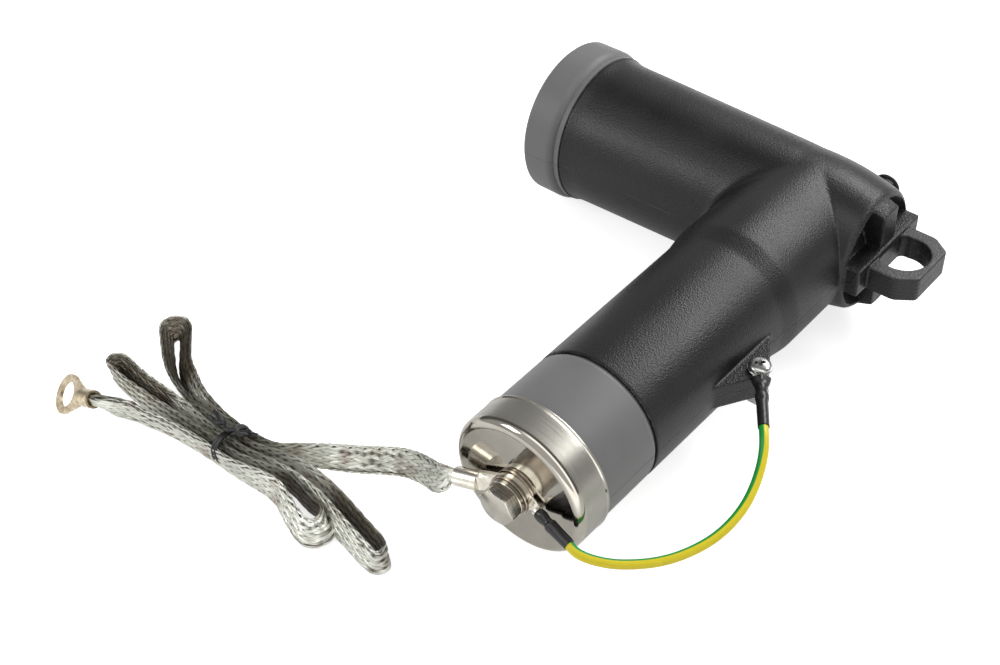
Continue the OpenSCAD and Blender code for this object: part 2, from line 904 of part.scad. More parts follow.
// One loop of the hank: straight-sided pieces between round stations
module hank_loop(stations) {
    for (i = [0:len(stations) - 2]) {
        from = stations[i];
        to = stations[i + 1];
        step = [to[0] - from[0], to[1] - from[1]];
        side = [-step[1], step[0]] / norm(step) / 2;
        polygon([
            [from[0], from[1]] + side * from[2], [from[0], from[1]] - side * from[2],
            [to[0], to[1]] - side * to[2], [to[0], to[1]] + side * to[2]
        ]);
        translate([to[0], to[1]])
            circle(to[2] / 2, $fn = 32);
    }
}

// Flat run of braid from the end of a route into the hank's core
module hank_run(route) {
    end = route[len(route) - 1];
    heading = end - route[len(route) - 2];
    translate([end[0], end[1]])
        rotate(atan2(heading[1], heading[0]))
            translate([0, -braid_t / 2])
                square([hank_core[0] / 3, braid_t]);
}

// Folded braid on the table: a short core in the tie and loops that fan out of it
module braid_hank() {
    color([0.62, 0.63, 0.58])
        linear_extrude(hank_h) {
            translate(tie_at)
                square(hank_core, center = true);
            for (stations = hank_loops)
                hank_loop(stations);
            hank_run(lead_route);
            hank_run(tail_route);
        }
}

// Plastic-covered wire twisted round the hank, with its two ends
module hank_tie() {
    tie_w = 8;
    tie_wall = 1.6;
    tie_end_r = 1.2;
    tie_end_len = 15;
    inner_w = hank_core[1] + 2 * fit;
    color([0.08, 0.08, 0.09])
        translate([tie_at[0], tie_at[1], 0]) {
            rotate([90, 0, 90])
                translate([0, 0, -tie_w / 2])
                    linear_extrude(tie_w)
                        difference() {
                            translate([0, (hank_h + tie_wall) / 2])
                                rounded_rect(inner_w + 2 * tie_wall, hank_h + tie_wall, 3);
                            translate([-inner_w / 2, -1])
                                square([inner_w, hank_h + 1 + fit]);
                        }
            for (turn = [165, 20])
                translate([0, 0, hank_h + tie_wall])
                    rotate(turn)
                        rotate([0, 90, 0])
                            cylinder(r = tie_end_r, h = tie_end_len, $fn = 24);
        }
}

// Thin ring lug of the drain wire about its own hole, with its barrel lifted off the palm
module drain_lug(hole_r, ring_r, barrel_at, lift) {
    difference() {
        union() {
            cylinder(r = ring_r, h = drain_lug_t);
            linear_extrude(drain_lug_t)
                polygon([
                    [ring_r * 0.6, -ring_r * 0.8], [barrel_at + 1, -drain_barrel_r],
                    [barrel_at + 1, drain_barrel_r], [ring_r * 0.6, ring_r * 0.8]
                ]);
            translate([barrel_at, 0, drain_barrel_r])
                rotate([0, 90 - lift, 0])
                    cylinder(r = drain_barrel_r, h = drain_barrel_len);
        }
        translate([0, 0, -1])
            cylinder(r = hole_r, h = drain_lug_t + 2);
    }
}

// Shrink sleeve over a drain lug's barrel: a flat-nosed taper and a tube that ends at the wire
module shrink_sleeve(nose_r, length, lift) {
    tube_r = wire_d / 2 + shrink_wall;
    bore_r = drain_barrel_r + fit;
    rotate([0, 90 - lift, 0])
        difference() {
            rotate_extrude()
                polygon([
                    [0, shrink_start], [nose_r, shrink_start], [nose_r, shrink_start + 2],
                    [tube_r, shrink_start + 8], [tube_r, shrink_start + length], [0, shrink_start + length]
                ]);
            translate([0, 0, -1])
                cylinder(r = bore_r, h = drain_barrel_len + 1 + fit);
        }
}

module drain_lug_cap() {
    color([0.7, 0.68, 0.64])
        in_place()
            on_bolt(drain_lug_at, drain_angle)
                drain_lug(bolt_hole_r, drain_ring_r, drain_barrel_at, drain_lift);
}

module shrink_cap() {
    color([0.1, 0.1, 0.1])
        in_place()
            on_bolt(drain_lug_at, drain_angle)
                translate([drain_barrel_at, 0, drain_barrel_r])
                    shrink_sleeve(shrink_nose_r, shrink_cap_len, drain_lift);
}

// Places a lug on the tab's screw
module on_tab() {
    translate([tab_screw_reach, -tab_at, tab_lug_z])
        rotate(tab_lug_angle)
            children();
}

module drain_lug_tab() {
    color([0.7, 0.68, 0.64])
        in_place()
            on_tab()
                drain_lug(tab_screw_r + fit, tab_lug_ring_r, tab_barrel_at, 0);
}

module shrink_tab() {
    color([0.1, 0.1, 0.1])
        in_place()
            on_tab()
                translate([tab_barrel_at, 0, drain_barrel_r])
                    shrink_sleeve(tab_nose_r, shrink_tab_len, 0);
}

module drain_wire() {
    color([0.9, 0.84, 0.15])
        swept(wire_route, wire_d, wire_d, 8);
}

// Pan-head screw with a cross recess
module tab_screw() {
    head_z = tab_lug_z + drain_lug_t;
    dome_r = (tab_head_r * tab_head_r + tab_head_h * tab_head_h) / (2 * tab_head_h);
    color([0.75, 0.75, 0.74])
        in_place()
            translate([tab_screw_reach, -tab_at, 0])
                difference() {
                    union() {
                        intersection() {
                            translate([0, 0, head_z + tab_head_h - dome_r])
                                sphere(dome_r);
                            translate([0, 0, head_z])
                                cylinder(r = tab_head_r, h = tab_head_h);
                        }
                        translate([0, 0, -tab_t / 2 - tab_washer_t - tab_nut_h - 1])
                            cylinder(r = tab_screw_r, h = tab_t / 2 + tab_washer_t + tab_nut_h + 2 + head_z);
                    }
                    for (turn = [0, 90])
                        rotate(turn)
                            translate([-2.4, -0.45, head_z + tab_head_h - 1.4])
                                cube([4.8, 0.9, 3]);
                }
}

module tab_washer() {
    color([0.78, 0.78, 0.77])
        in_place()
            translate([tab_screw_reach, -tab_at, 0])
                ring(tab_washer_r, tab_screw_r + fit, -tab_t / 2 - tab_washer_t, -tab_t / 2);
}

module tab_nut() {
    top = -tab_t / 2 - tab_washer_t;
    color([0.78, 0.78, 0.77])
        in_place()
            translate([tab_screw_reach, -tab_at, top - tab_nut_h])
                difference() {
                    cylinder(r = tab_nut_af / sqrt(3), h = tab_nut_h, $fn = 6);
                    translate([0, 0, -1])
                        cylinder(r = tab_screw_r + fit / 2, h = tab_nut_h + 2);
                }
}

// Metal stud moulded in the insulation for the capacitive test point
module test_stud() {
    color([0.72, 0.68, 0.5])
        in_place()
            translate([test_at, 0, 0])
                rotate([-90, 0, 0])
                    ring(test_stud_r, 0, shield_r + 4, test_stud_end);
}

// Rubber cap over the test point, with a rim to pull it by and a domed top
module test_cap() {
    skirt_r = test_boss_r + fit;
    skirt_wall = 0.9;
    rim_at = test_reach - 3;
    dome_h = 1.8;
    color([0.14, 0.14, 0.145])
        in_place()
            translate([test_at, 0, 0])
                rotate([-90, 0, 0])
                    rotate_extrude()
                        polygon([
                            [skirt_r, test_boss_end - 5], [skirt_r + skirt_wall, test_boss_end - 5],
                            [skirt_r + skirt_wall, rim_at - 0.6], [test_cap_r, rim_at],
                            [test_cap_r, test_reach - dome_h], [test_cap_r - 2, test_reach - 0.4],
                            [test_cap_r - 4, test_reach], [0, test_reach],
                            [0, test_stud_end + fit], [test_stud_r + 0.5, test_stud_end + fit],
                            [test_stud_r + 0.5, test_boss_end + fit], [skirt_r, test_boss_end + fit]
                        ]);
}

jacket();
insulating_body();
inner_shield();
eye_insert();
top_connector();
contact_probe();
arc_follower();
contact_spring();
top_electrode();
varistor(1);  // varistor_1
varistor(2);  // varistor_2
varistor(3);  // varistor_3
varistor(4);  // varistor_4
varistor(5);  // varistor_5
varistor(6);  // varistor_6
contact_plate();
stack_spring();
bottom_electrode();
glass_wrap();
end_cap();
seat_washer();
head_washer();
spring_washer();
earth_bolt();
braid_lug_near();
braid_lug_far();
braid_lead();
braid_hank();
braid_tail();
hank_tie();
drain_lug_cap();
drain_lug_tab();
shrink_cap();
shrink_tab();
drain_wire();
tab_screw();
tab_washer();
tab_nut();
test_stud();
test_cap();
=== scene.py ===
"""Looks of the elbow surge arrester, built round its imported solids.

Lengths are in metres and in the part's own frame: -X is the way out of the
bushing leg, -Y the way out of the arrester leg and +Z is up from the table.
The classes' sizes are in millimetres unless they carry MM: from the corner, but
in the part's own frame for the cords and the tie.
"""

from __future__ import annotations

import logging
import math
from dataclasses import dataclass, field
from enum import Enum
from functools import partial
from typing import Any, Callable, Sequence

import bmesh
import bpy
import numpy as np
from mathutils import Matrix, Vector

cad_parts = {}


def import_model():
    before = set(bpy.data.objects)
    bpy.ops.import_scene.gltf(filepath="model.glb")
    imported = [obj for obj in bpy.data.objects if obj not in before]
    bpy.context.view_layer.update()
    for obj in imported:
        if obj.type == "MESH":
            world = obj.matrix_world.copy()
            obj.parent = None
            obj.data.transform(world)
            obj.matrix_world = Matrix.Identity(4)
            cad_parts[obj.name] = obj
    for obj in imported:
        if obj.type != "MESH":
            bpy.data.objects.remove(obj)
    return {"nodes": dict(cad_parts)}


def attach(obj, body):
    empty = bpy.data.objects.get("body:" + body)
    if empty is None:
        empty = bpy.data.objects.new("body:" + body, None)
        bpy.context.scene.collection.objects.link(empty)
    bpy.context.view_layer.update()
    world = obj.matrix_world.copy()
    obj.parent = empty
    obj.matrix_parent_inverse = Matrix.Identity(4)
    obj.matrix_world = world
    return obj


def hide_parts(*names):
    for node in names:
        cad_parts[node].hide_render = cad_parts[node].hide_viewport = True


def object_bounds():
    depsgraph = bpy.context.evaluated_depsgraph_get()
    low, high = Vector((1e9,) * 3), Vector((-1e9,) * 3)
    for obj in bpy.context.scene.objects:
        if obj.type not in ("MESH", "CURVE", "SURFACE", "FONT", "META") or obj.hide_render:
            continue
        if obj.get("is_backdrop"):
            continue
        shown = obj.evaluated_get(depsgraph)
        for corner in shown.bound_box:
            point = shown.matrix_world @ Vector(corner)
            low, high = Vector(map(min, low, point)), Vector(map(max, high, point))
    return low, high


LOG = logging.getLogger("arrester")
MM = 0.001
CORNER = Vector((0.040, 0.0917, 0.041))  # where the two legs' middle lines meet
TIE_AT = (-98.5, -167.5)  # the tie round the hank, in the part's frame in millimetres
BODY = "root"

# Kinds of node that many finishes use.
MATHS, RANGE, MIX = "ShaderNodeMath", "ShaderNodeMapRange", "ShaderNodeMix"
NOISE, BUMP, AXES = "ShaderNodeTexNoise", "ShaderNodeBump", "ShaderNodeSeparateXYZ"

# The knots between which a smooth route blends its points, step by step.
BLENDS = (((0, 1), (1, 2), (2, 3)), ((0, 2), (1, 3)), ((1, 2),))

Route = Sequence[tuple[float, float, float]]
Profile = Sequence[tuple[float, float]]
Leaned = tuple[float, float, float, float]


# Helpers


def linear(hex_colour: str) -> tuple[float, float, float, float]:
    """Turns an sRGB hex colour into Blender's linear RGBA.

    Args:
        hex_colour: Six hex digits.

    Returns:
        The linear colour with an alpha of one.
    """
    parts = [int(hex_colour[i : i + 2], 16) / 255 for i in (0, 2, 4)]
    red, green, blue = (
        c / 12.92 if c <= 0.04045 else ((c + 0.055) / 1.055) ** 2.4 for c in parts
    )
    return red, green, blue, 1.0


def add_node(
    tree: bpy.types.NodeTree,
    kind: str,
    inputs: dict[Any, Any] | Sequence[Any] = (),
    out: int | str | None = 0,
    **settings: Any,
) -> bpy.types.NodeSocket | bpy.types.Node:
    """Adds a node to a tree with its settings and links.

    Args:
        tree: A shader or geometry tree.
        kind: The node's type name.
        inputs: Values, hex colours or sockets to link from, in the inputs' order
            or by their names or numbers.
        out: The output to give, or None for the node.
        **settings: Property values of the node.

    Returns:
        The output's socket, or the node.
    """
    made = tree.nodes.new(kind)
    for key, value in settings.items():
        setattr(made, key, value)
    for key, value in inputs.items() if isinstance(inputs, dict) else enumerate(inputs):
        socket = made.inputs[key]
        if isinstance(value, bpy.types.NodeSocket):
            tree.links.new(value, socket)
        else:
            socket.default_value = linear(value) if socket.type == "RGBA" else value
    return made if out is None else made.outputs[out]


def linked(name: str, data: bpy.types.ID) -> bpy.types.Object:
    """Puts an object with the given data in the scene, at the origin.

    Args:
        name: The object's name.
        data: Its mesh, curve, camera or light.

    Returns:
        The object.
    """
    made = bpy.data.objects.new(name, data)
    bpy.context.scene.collection.objects.link(made)
    return made


def shade(mesh: bpy.types.Mesh, angle: float) -> None:
    """Shades a mesh smooth, with its edges sharp above an angle in degrees."""
    mesh.shade_smooth()
    mesh.set_sharp_from_angle(angle=math.radians(angle))


def piece_from(
    name: str,
    points: np.ndarray | Sequence[Sequence[float]],
    faces: Sequence[Sequence[int]],
    smooth_angle: float = 35.0,
) -> bpy.types.Object:
    """Makes a mesh object from points in metres.

    Args:
        name: The piece's name.
        points: Rows of x, y and z.
        faces: Rows of point numbers, turned outwards.
        smooth_angle: Edges sharper than this many degrees stay sharp.

    Returns:
        The piece.
    """
    mesh = bpy.data.meshes.new(name)
    rows = [tuple(map(float, p)) for p in points]
    mesh.from_pydata(rows, [], [tuple(map(int, f)) for f in faces])
    mesh.validate()
    shade(mesh, smooth_angle)
    return linked(name, mesh)


def box_from(
    name: str, size: float, move: Callable[[Vector], Vector], place: Matrix
) -> bpy.types.Object:
    """Makes a cutter from a cube whose corners are moved.

    Args:
        name: The cutter's name.
        size: The cube's edge in millimetres, about the origin.
        move: Gives each corner its new place.
        place: Puts the local axes, in millimetres, in the part's frame.

    Returns:
        The cutter.
    """
    shape = bmesh.new()
    bmesh.ops.create_cube(shape, size=size)
    for corner in shape.verts:
        corner.co = move(corner.co)
    mesh = bpy.data.meshes.new(name)
    shape.to_mesh(mesh)
    shape.free()
    mesh.transform(place)
    return linked(name, mesh)


def dress(made: bpy.types.Object, material: bpy.types.Material) -> bpy.types.Object:
    """Puts a material on an object in place of those it has.

    Args:
        made: A piece or a CAD node.
        material: The material of all its faces.

    Returns:
        The same object.
    """
    made.data.materials.clear()
    made.data.materials.append(material)
    return made


def seat(made: bpy.types.Object, slot: str, *nodes: str) -> bpy.types.Object:
    """Lets a finished piece ride on the part and stand for its CAD nodes.

    Args:
        made: The finished piece.
        slot: Not used.
        *nodes: The CAD nodes that the piece replaces.

    Returns:
        The same piece.
    """
    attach(made, BODY)
    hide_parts(*nodes)
    triangles = sum(len(p.vertices) - 2 for p in made.data.polygons)
    LOG.info("%s: %d triangles", made.name, triangles)
    return made


def baked(made: bpy.types.Object) -> bpy.types.Object:
    """Turns an object's modifiers into its plain mesh.

    Args:
        made: A mesh or a curve with live modifiers.

    Returns:
        An object of the same name, with the result as its mesh.
    """
    graph = bpy.context.evaluated_depsgraph_get()
    result = bpy.data.meshes.new_from_object(made.evaluated_get(graph), depsgraph=graph)
    made.modifiers.clear()
    if made.type == "MESH":
        made.data = result
        return made
    name = made.name
    bpy.data.objects.remove(made)
    return linked(name, result)


def cut(made: bpy.types.Object, cutter: bpy.types.Object) -> bpy.types.Object:
    """Takes a closed cutter out of a closed piece, and the cutter out of the scene.

    Args:
        made: The piece.
        cutter: The space to take out of it.

    Returns:
        The piece, as a plain mesh.
    """
    step = made.modifiers.new("cut", "BOOLEAN")
    step.operation, step.solver, step.object = "DIFFERENCE", "MANIFOLD", cutter
    made = baked(made)
    bpy.data.objects.remove(cutter)
    return made


def joined(made: bpy.types.Object, other: bpy.types.Object) -> bpy.types.Object:
    """Adds another piece's mesh to a piece, and takes the other out of the scene.

    Args:
        made: The piece that stays.
        other: The piece that is added.

    Returns:
        The piece with both meshes.
    """
    shape = bmesh.new()
    for mesh in (made.data, other.data):
        shape.from_mesh(mesh)
    shape.to_mesh(made.data)
    shape.free()
    bpy.data.objects.remove(other)
    return made


def softened(
    node: bpy.types.Object, name: str, width_mm: float, turn: Matrix | None = None
) -> bpy.types.Object:
    """Copies a CAD solid and breaks its edges, as a file or a tumbler does.

    Args:
        node: The CAD node, which stays as it is.
        name: The copy's name.
        width_mm: How wide an edge becomes.
        turn: Turns the copy, in the part's frame.

    Returns:
        The copy, with a bright narrow face along each edge.
    """
    mesh = bpy.data.meshes.new(name)
    shape = bmesh.new()
    shape.from_mesh(node.data)
    bmesh.ops.remove_doubles(shape, verts=shape.verts, dist=2e-6)
    flat = math.radians(0.6)
    bmesh.ops.dissolve_limit(shape, angle_limit=flat, verts=shape.verts, edges=shape.edges)
    shape.to_mesh(mesh)
    shape.free()
    mesh.materials.clear()
    made = linked(name, mesh)
    step = made.modifiers.new("edges", "BEVEL")
    step.width, step.segments, step.limit_method = width_mm * MM, 1, "ANGLE"
    step.angle_limit = math.radians(28)
    made = baked(made)
    if turn is not None:
        made.data.transform(turn)
    shade(made.data, 30)
    return made


def run_along(line: np.ndarray) -> np.ndarray:
    """Measures a line at each of its points, in its first three columns."""
    steps = np.linalg.norm(np.diff(line[:, :3], axis=0), axis=1)
    return np.concatenate([[0], np.cumsum(steps)])


def directions(line: np.ndarray) -> np.ndarray:
    """Gives the way a line runs at each of its points, with a length of one."""
    ahead = np.gradient(line[:, :3], axis=0)
    return ahead / np.linalg.norm(ahead, axis=1)[:, None]


def smooth_route(points: Route | np.ndarray, step: float) -> np.ndarray:
    """Runs a smooth curve through points and spaces it evenly.

    Args:
        points: Rows of coordinates, of any count of columns from three on.
        step: The distance between points of the result, in metres.

    Returns:
        Rows with the same columns, evenly spaced in x, y and z.
    """
    given = np.array(points, float)
    ends = np.vstack([2 * given[0] - given[1], given, 2 * given[-1] - given[-2]])
    fine = []
    for i in range(1, len(ends) - 2):
        four = ends[i - 1 : i + 3]
        knots = [0.0]
        for p, q in zip(four, four[1:]):
            knots.append(knots[-1] + max(np.linalg.norm((q - p)[:3]), 1e-6) ** 0.5)
        for t in np.linspace(knots[1], knots[2], 24, endpoint=False):
            row = list(four)
            for spans in BLENDS:
                row = [
                    (knots[b] - t) / (knots[b] - knots[a]) * row[n]
                    + (t - knots[a]) / (knots[b] - knots[a]) * row[n + 1]
                    for n, (a, b) in enumerate(spans)
                ]
            fine.append(row[0])
    fine.append(ends[-2])
    line = np.array(fine)
    run = run_along(line)
    count = max(2, int(round(run[-1] / step)) + 1)
    at = np.linspace(0, run[-1], count)
    return np.stack([np.interp(at, run, line[:, k]) for k in range(line.shape[1])], axis=1)


def tube(name: str, line: np.ndarray, radius: float, sides: int) -> bpy.types.Object:
    """Sweeps a round section along a line, with closed ends and a UV map.

    Args:
        name: The piece's name.
        line: Rows of x, y and z in metres.
        radius: The section's radius in metres.
        sides: Corners of the section.

    Returns:
        The tube; its UV map holds the distance along it and the turn round it.
    """
    heading = directions(line)
    side = np.cross(heading, [0, 0, 1])
    side /= np.maximum(np.linalg.norm(side, axis=1), 1e-9)[:, None]
    up = np.cross(side, heading)
    turn = np.linspace(0, 2 * np.pi, sides, endpoint=False)[None, :, None]
    rings = line[:, None] + radius * (np.cos(turn) * side[:, None] + np.sin(turn) * up[:, None])
    count = len(line)
    points = np.vstack([rings.reshape(-1, 3), line[:1], line[-1:]])
    faces = []
    for i in range(count - 1):
        for k in range(sides):
            near, far, n = i * sides, (i + 1) * sides, (k + 1) % sides
            faces.append((near + k, near + n, far + n, far + k))
    first, last, rim = count * sides, count * sides + 1, (count - 1) * sides
    faces += [(first, (k + 1) % sides, k) for k in range(sides)]
    faces += [(last, rim + k, rim + (k + 1) % sides) for k in range(sides)]
    made = piece_from(name, points, faces, 50)
    layer = made.data.uv_layers.new(name="UVMap")
    run = run_along(line)
    for polygon in made.data.polygons:
        turns = [v % sides for v in polygon.vertices]
        wraps = max(turns) == sides - 1 and min(turns) == 0 and len(turns) == 4
        for loop, vertex in zip(polygon.loop_indices, polygon.vertices):
            along = run[vertex // sides] if vertex < first else run[first - vertex]
            share = (vertex % sides) / sides
            layer.data[loop].uv = (along, 1.0 if wraps and share == 0 else share)
    return made


def lathe(name: str, profile: Profile, place: Matrix, sides: int = 96) -> bpy.types.Object:
    """Turns a closed profile about the local Z axis.

    Args:
        name: The piece's name.
        profile: Radius and height pairs in millimetres, counter-clockwise when
            the radius runs to the right and the height upwards.
        place: Puts the local axes, in millimetres, in the part's frame.
        sides: Steps round the axis.

    Returns:
        The turned piece.
    """
    points: list[Vector] = []
    index: list[list[int]] = []
    for r, z in profile:
        start, steps = len(points), sides if r > 1e-6 else 1
        for k in range(steps):
            a = 2 * math.pi * k / sides
            points.append(Vector((r * math.cos(a), r * math.sin(a), z)))
        index.append([start + k % steps for k in range(sides)])
    faces = []
    for low, high in zip(index, index[1:] + index[:1]):
        for k in range(sides):
            n = (k + 1) % sides
            corners = [low[k], low[n], high[n], high[k]]
            kept = [c for i, c in enumerate(corners) if c != corners[i - 1]]
            if len(kept) > 2:
                faces.append(kept)
    return piece_from(name, [place @ p for p in points], faces, 32)


def from_corner(x: float = 0.0, y: float = 0.0, z: float = 0.0) -> Matrix:
    """Local axes at a point given from the corner, from millimetres to metres."""
    return Matrix.Translation(CORNER + Vector((x, y, z)) * MM) @ Matrix.Scale(MM, 4)


def turned(degrees: float, axis: str) -> Matrix:
    """A turn about one of the local axes."""
    return Matrix.Rotation(math.radians(degrees), 4, axis)


def along_bushing_leg() -> Matrix:
    """Local Z to the way out of the bushing leg, from millimetres to metres."""
    return from_corner() @ turned(-90, "Y")


def along_arrester_leg() -> Matrix:
    """Local Z to the way out of the arrester leg, from millimetres to metres."""
    return from_corner() @ turned(90, "X")


# Finishes


@dataclass
class Shader:
    """A new material with its principled shader, ready for a finish's nodes."""

    name: str
    material: bpy.types.Material = field(init=False)
    place: bpy.types.NodeSocket = field(init=False)

    def __post_init__(self) -> None:
        """Makes the material and its Object coordinates."""
        self.material = bpy.data.materials.new(self.name)
        self.material.use_nodes = True
        self.place = self.node("ShaderNodeTexCoord", out="Object")

    def node(
        self,
        kind: str,
        inputs: dict[Any, Any] | Sequence[Any] = (),
        out: int | str | None = 0,
        **settings: Any,
    ) -> bpy.types.NodeSocket | bpy.types.Node:
        """Adds a node to this material; see add_node."""
        return add_node(self.material.node_tree, kind, inputs, out, **settings)

    def finished(self, **values: Any) -> bpy.types.Material:
        """Sets or links the shader's own sockets, by name with underscores.

        Args:
            **values: Numbers, hex colours or sockets.

        Returns:
            The finished material.
        """
        tree = self.material.node_tree
        for key, value in values.items():
            socket = tree.nodes["Principled BSDF"].inputs[key.replace("_", " ")]
            if isinstance(value, bpy.types.NodeSocket):
                tree.links.new(value, socket)
            else:
                socket.default_value = linear(value) if isinstance(value, str) else value
        return self.material


@dataclass(frozen=True)
class MouldedRubber:
    """Peroxide-cured EPDM: satin, with the fine leather grain of its etched mould.

    The grain breaks each highlight into specks, and is deeper beyond the rear
    end's rim. Its cells are drawn about twice as wide as the mould's, so that
    they show. A flash line runs round the plane in which the two legs lie,
    where the halves of the mould met. The eye's upward faces are painted paler:
    painted light from above.
    """

    name: str
    colour: str
    worn: str
    grain_mm: float
    grain_depth_mm: float
    roughness: tuple[float, float]
    flash: bool = True
    flash_colour: str = "0c0c0c"
    eye_top_light_colour: str = "464646"

    def build(self) -> bpy.types.Material:
        """Makes the material.

        Returns:
            The material, with all its nodes.
        """
        s = Shader(self.name)
        x, _, z = s.node(AXES, (s.place,), None).outputs
        jitter = s.node(NOISE, {"Vector": s.place, "Scale": 900 / self.grain_mm}, "Color")
        warp = s.node(
            "ShaderNodeVectorMath",
            (jitter, (self.grain_mm * MM * 0.8,) * 3, s.place),
            operation="MULTIPLY_ADD",
        )
        cells = s.node(
            "ShaderNodeTexVoronoi",
            {"Vector": warp, "Scale": 1000 / self.grain_mm, "Smoothness": 0.6},
            "Distance",
            feature="SMOOTH_F1",
        )
        rear = (CORNER.x + 33.5 * MM, CORNER.x + 35.5 * MM)
        coarse = s.node(RANGE, (x, *rear, 1, 2.3))
        height = s.node(MATHS, (cells, coarse), operation="MULTIPLY")
        depth = self.grain_depth_mm * MM
        normal = s.node(BUMP, {"Height": height, "Distance": depth, "Strength": 1})
        cloud = s.node(NOISE, {"Vector": s.place, "Scale": 1000 / 28, "Detail": 3})
        dust = s.node(NOISE, {"Vector": s.place, "Scale": 1000 / 1.7, "Detail": 1})
        layers = [
            (s.node(RANGE, (cloud, 0.3, 0.7, 0, 1)), self.worn),
            (s.node(RANGE, (dust, 0.74, 0.8, 0, 0.8)), self.worn),
        ]
        if self.flash:
            level = s.node(MATHS, (z, CORNER.z), operation="SUBTRACT")
            off = s.node(MATHS, (level,), operation="ABSOLUTE")
            line = s.node(RANGE, (off, 0.0001, 0.00035, 1, 0))
            gaps = s.node(NOISE, {"Vector": s.place, "Scale": 1000 / 9, "Detail": 1})
            share = s.node(RANGE, (gaps, 0.3, 0.7, 0.25, 1))
            broken = s.node(MATHS, (line, share), operation="MULTIPLY")
            dark = s.node(MATHS, (broken, 0.6), operation="MULTIPLY")
            layers.append((dark, self.flash_colour))
            normal = s.node(
                BUMP, {"Height": broken, "Distance": 0.25 * MM, "Strength": 0.9, "Normal": normal}
            )
            facing = s.node(AXES, (s.node("ShaderNodeNewGeometry", out="Normal"),), "Z")
            # Painted light: the eye's upward faces are painted paler.
            upward = s.node(RANGE, (facing, 0.8, 0.95, 0, 1))
            on_eye = s.node(RANGE, (x, CORNER.x + 44.5 * MM, CORNER.x + 46 * MM, 0, 1))
            eye_top_light = s.node(MATHS, (on_eye, upward), operation="MULTIPLY")
            layers.append((eye_top_light, self.eye_top_light_colour))
        colour = self.colour
        for share, tone in layers:
            colour = s.node(MIX, {0: share, 6: colour, 7: tone}, 2, data_type="RGBA")
        return s.finished(
            Base_Color=colour,
            Roughness=s.node(RANGE, (cloud, 0.3, 0.7, *self.roughness)),
            Specular_IOR_Level=0.4,
            Normal=normal,
        )


@dataclass(frozen=True)
class DrawnSteel:
    """Stainless steel cup, deep drawn: turned with fine rings, its face polished.

    The rings run round the side, so a highlight there spreads along the leg,
    while the face mirrors the washers and the lugs with a warm, smudged tone.
    The tool left rings about a tenth of a millimetre apart, which are drawn
    coarser so that they show.
    """

    name: str
    side: str = "a3a19a"
    face: str = "aaa69d"
    smudged: str = "8b867a"
    ring_mm: float = 0.8

    def build(self) -> bpy.types.Material:
        """Makes the material.

        Returns:
            The material, with all its nodes.
        """
        s = Shader(self.name)
        round_axis = s.node("ShaderNodeMapping", {0: s.place, "Scale": (0.02, 1, 0.02)})
        rings = s.node(NOISE, {"Vector": round_axis, "Scale": 1000 / self.ring_mm, "Detail": 3})
        smudge = s.node(NOISE, {"Vector": s.place, "Scale": 1000 / 9, "Detail": 4})
        facing = s.node(AXES, (s.node("ShaderNodeNewGeometry", out="Normal"),), "Y")
        on_side = s.node(RANGE, (facing, -0.14, -0.03, 0, 1))
        colour = s.node(MIX, {0: on_side, 6: self.face, 7: self.side}, 2, data_type="RGBA")
        thin = s.node(RANGE, (smudge, 0.3, 0.7, 0, 0.3))
        colour = s.node(MIX, {0: thin, 6: colour, 7: self.smudged}, 2, data_type="RGBA")
        turned_rough = s.node(RANGE, (rings, 0.3, 0.7, 0.18, 0.28))
        shine = s.node(MATHS, (turned_rough, on_side, 0.06), operation="MULTIPLY_ADD")
        touched = s.node(RANGE, (smudge, 0.3, 0.7, 0, 1))
        shine = s.node(MATHS, (touched, 0.06, shine), operation="MULTIPLY_ADD")
        height = s.node(MATHS, (rings, on_side), operation="MULTIPLY")
        normal = s.node(BUMP, {"Height": height, "Distance": 0.012 * MM, "Strength": 0.5})
        return s.finished(Base_Color=colour, Metallic=1.0, Roughness=shine, Normal=normal)


@dataclass(frozen=True)
class MachinedSteel:
    """Plated or plain steel, cut or pressed: bright, with dull patches and fine scores.

    The scores run across the part's Y, or round it on a brushed bolt, whose
    flanks they darken. They are drawn coarser than the tool's marks.
    """

    name: str
    colour: str
    stain: str
    roughness: tuple[float, float]
    stain_mm: float = 3.0
    stain_share: float = 0.6
    score_mm: float = 0.35
    brushed: float = 0.0
    streak: str = "5f564c"

    def build(self) -> bpy.types.Material:
        """Makes the material.

        Returns:
            The material, with all its nodes.
        """
        s = Shader(self.name)
        cloud = s.node(NOISE, {"Vector": s.place, "Scale": 1000 / self.stain_mm, "Detail": 4})
        drawn_out = (0.05, 1, 0.05) if self.brushed else (1, 0.15, 1)
        along = s.node("ShaderNodeMapping", {0: s.place, "Scale": drawn_out})
        scores = s.node(NOISE, {"Vector": along, "Scale": 1000 / self.score_mm, "Detail": 2})
        layers = [(s.node(RANGE, (cloud, 0.38, 0.66, 0, self.stain_share)), self.stain)]
        if self.brushed:
            facing = s.node(AXES, (s.node("ShaderNodeNewGeometry", out="Normal"),), "Y")
            flank = s.node(RANGE, (facing, -0.6, -0.2, 0, self.brushed))
            marks = s.node(RANGE, (scores, 0.42, 0.58, 0.35, 1))
            layers.append((s.node(MATHS, (marks, flank), operation="MULTIPLY"), self.streak))
        colour = self.colour
        for share, tone in layers:
            colour = s.node(MIX, {0: share, 6: colour, 7: tone}, 2, data_type="RGBA")
        dulled = s.node(MATHS, (cloud, 0.6), operation="MULTIPLY")
        dulled = s.node(MATHS, (scores, 0.4, dulled), operation="MULTIPLY_ADD")
        return s.finished(
            Base_Color=colour,
            Metallic=1.0,
            Roughness=s.node(RANGE, (dulled, 0.3, 0.7, *self.roughness)),
            Normal=s.node(BUMP, {"Height": scores, "Distance": 0.03 * MM, "Strength": 0.35}),
        )


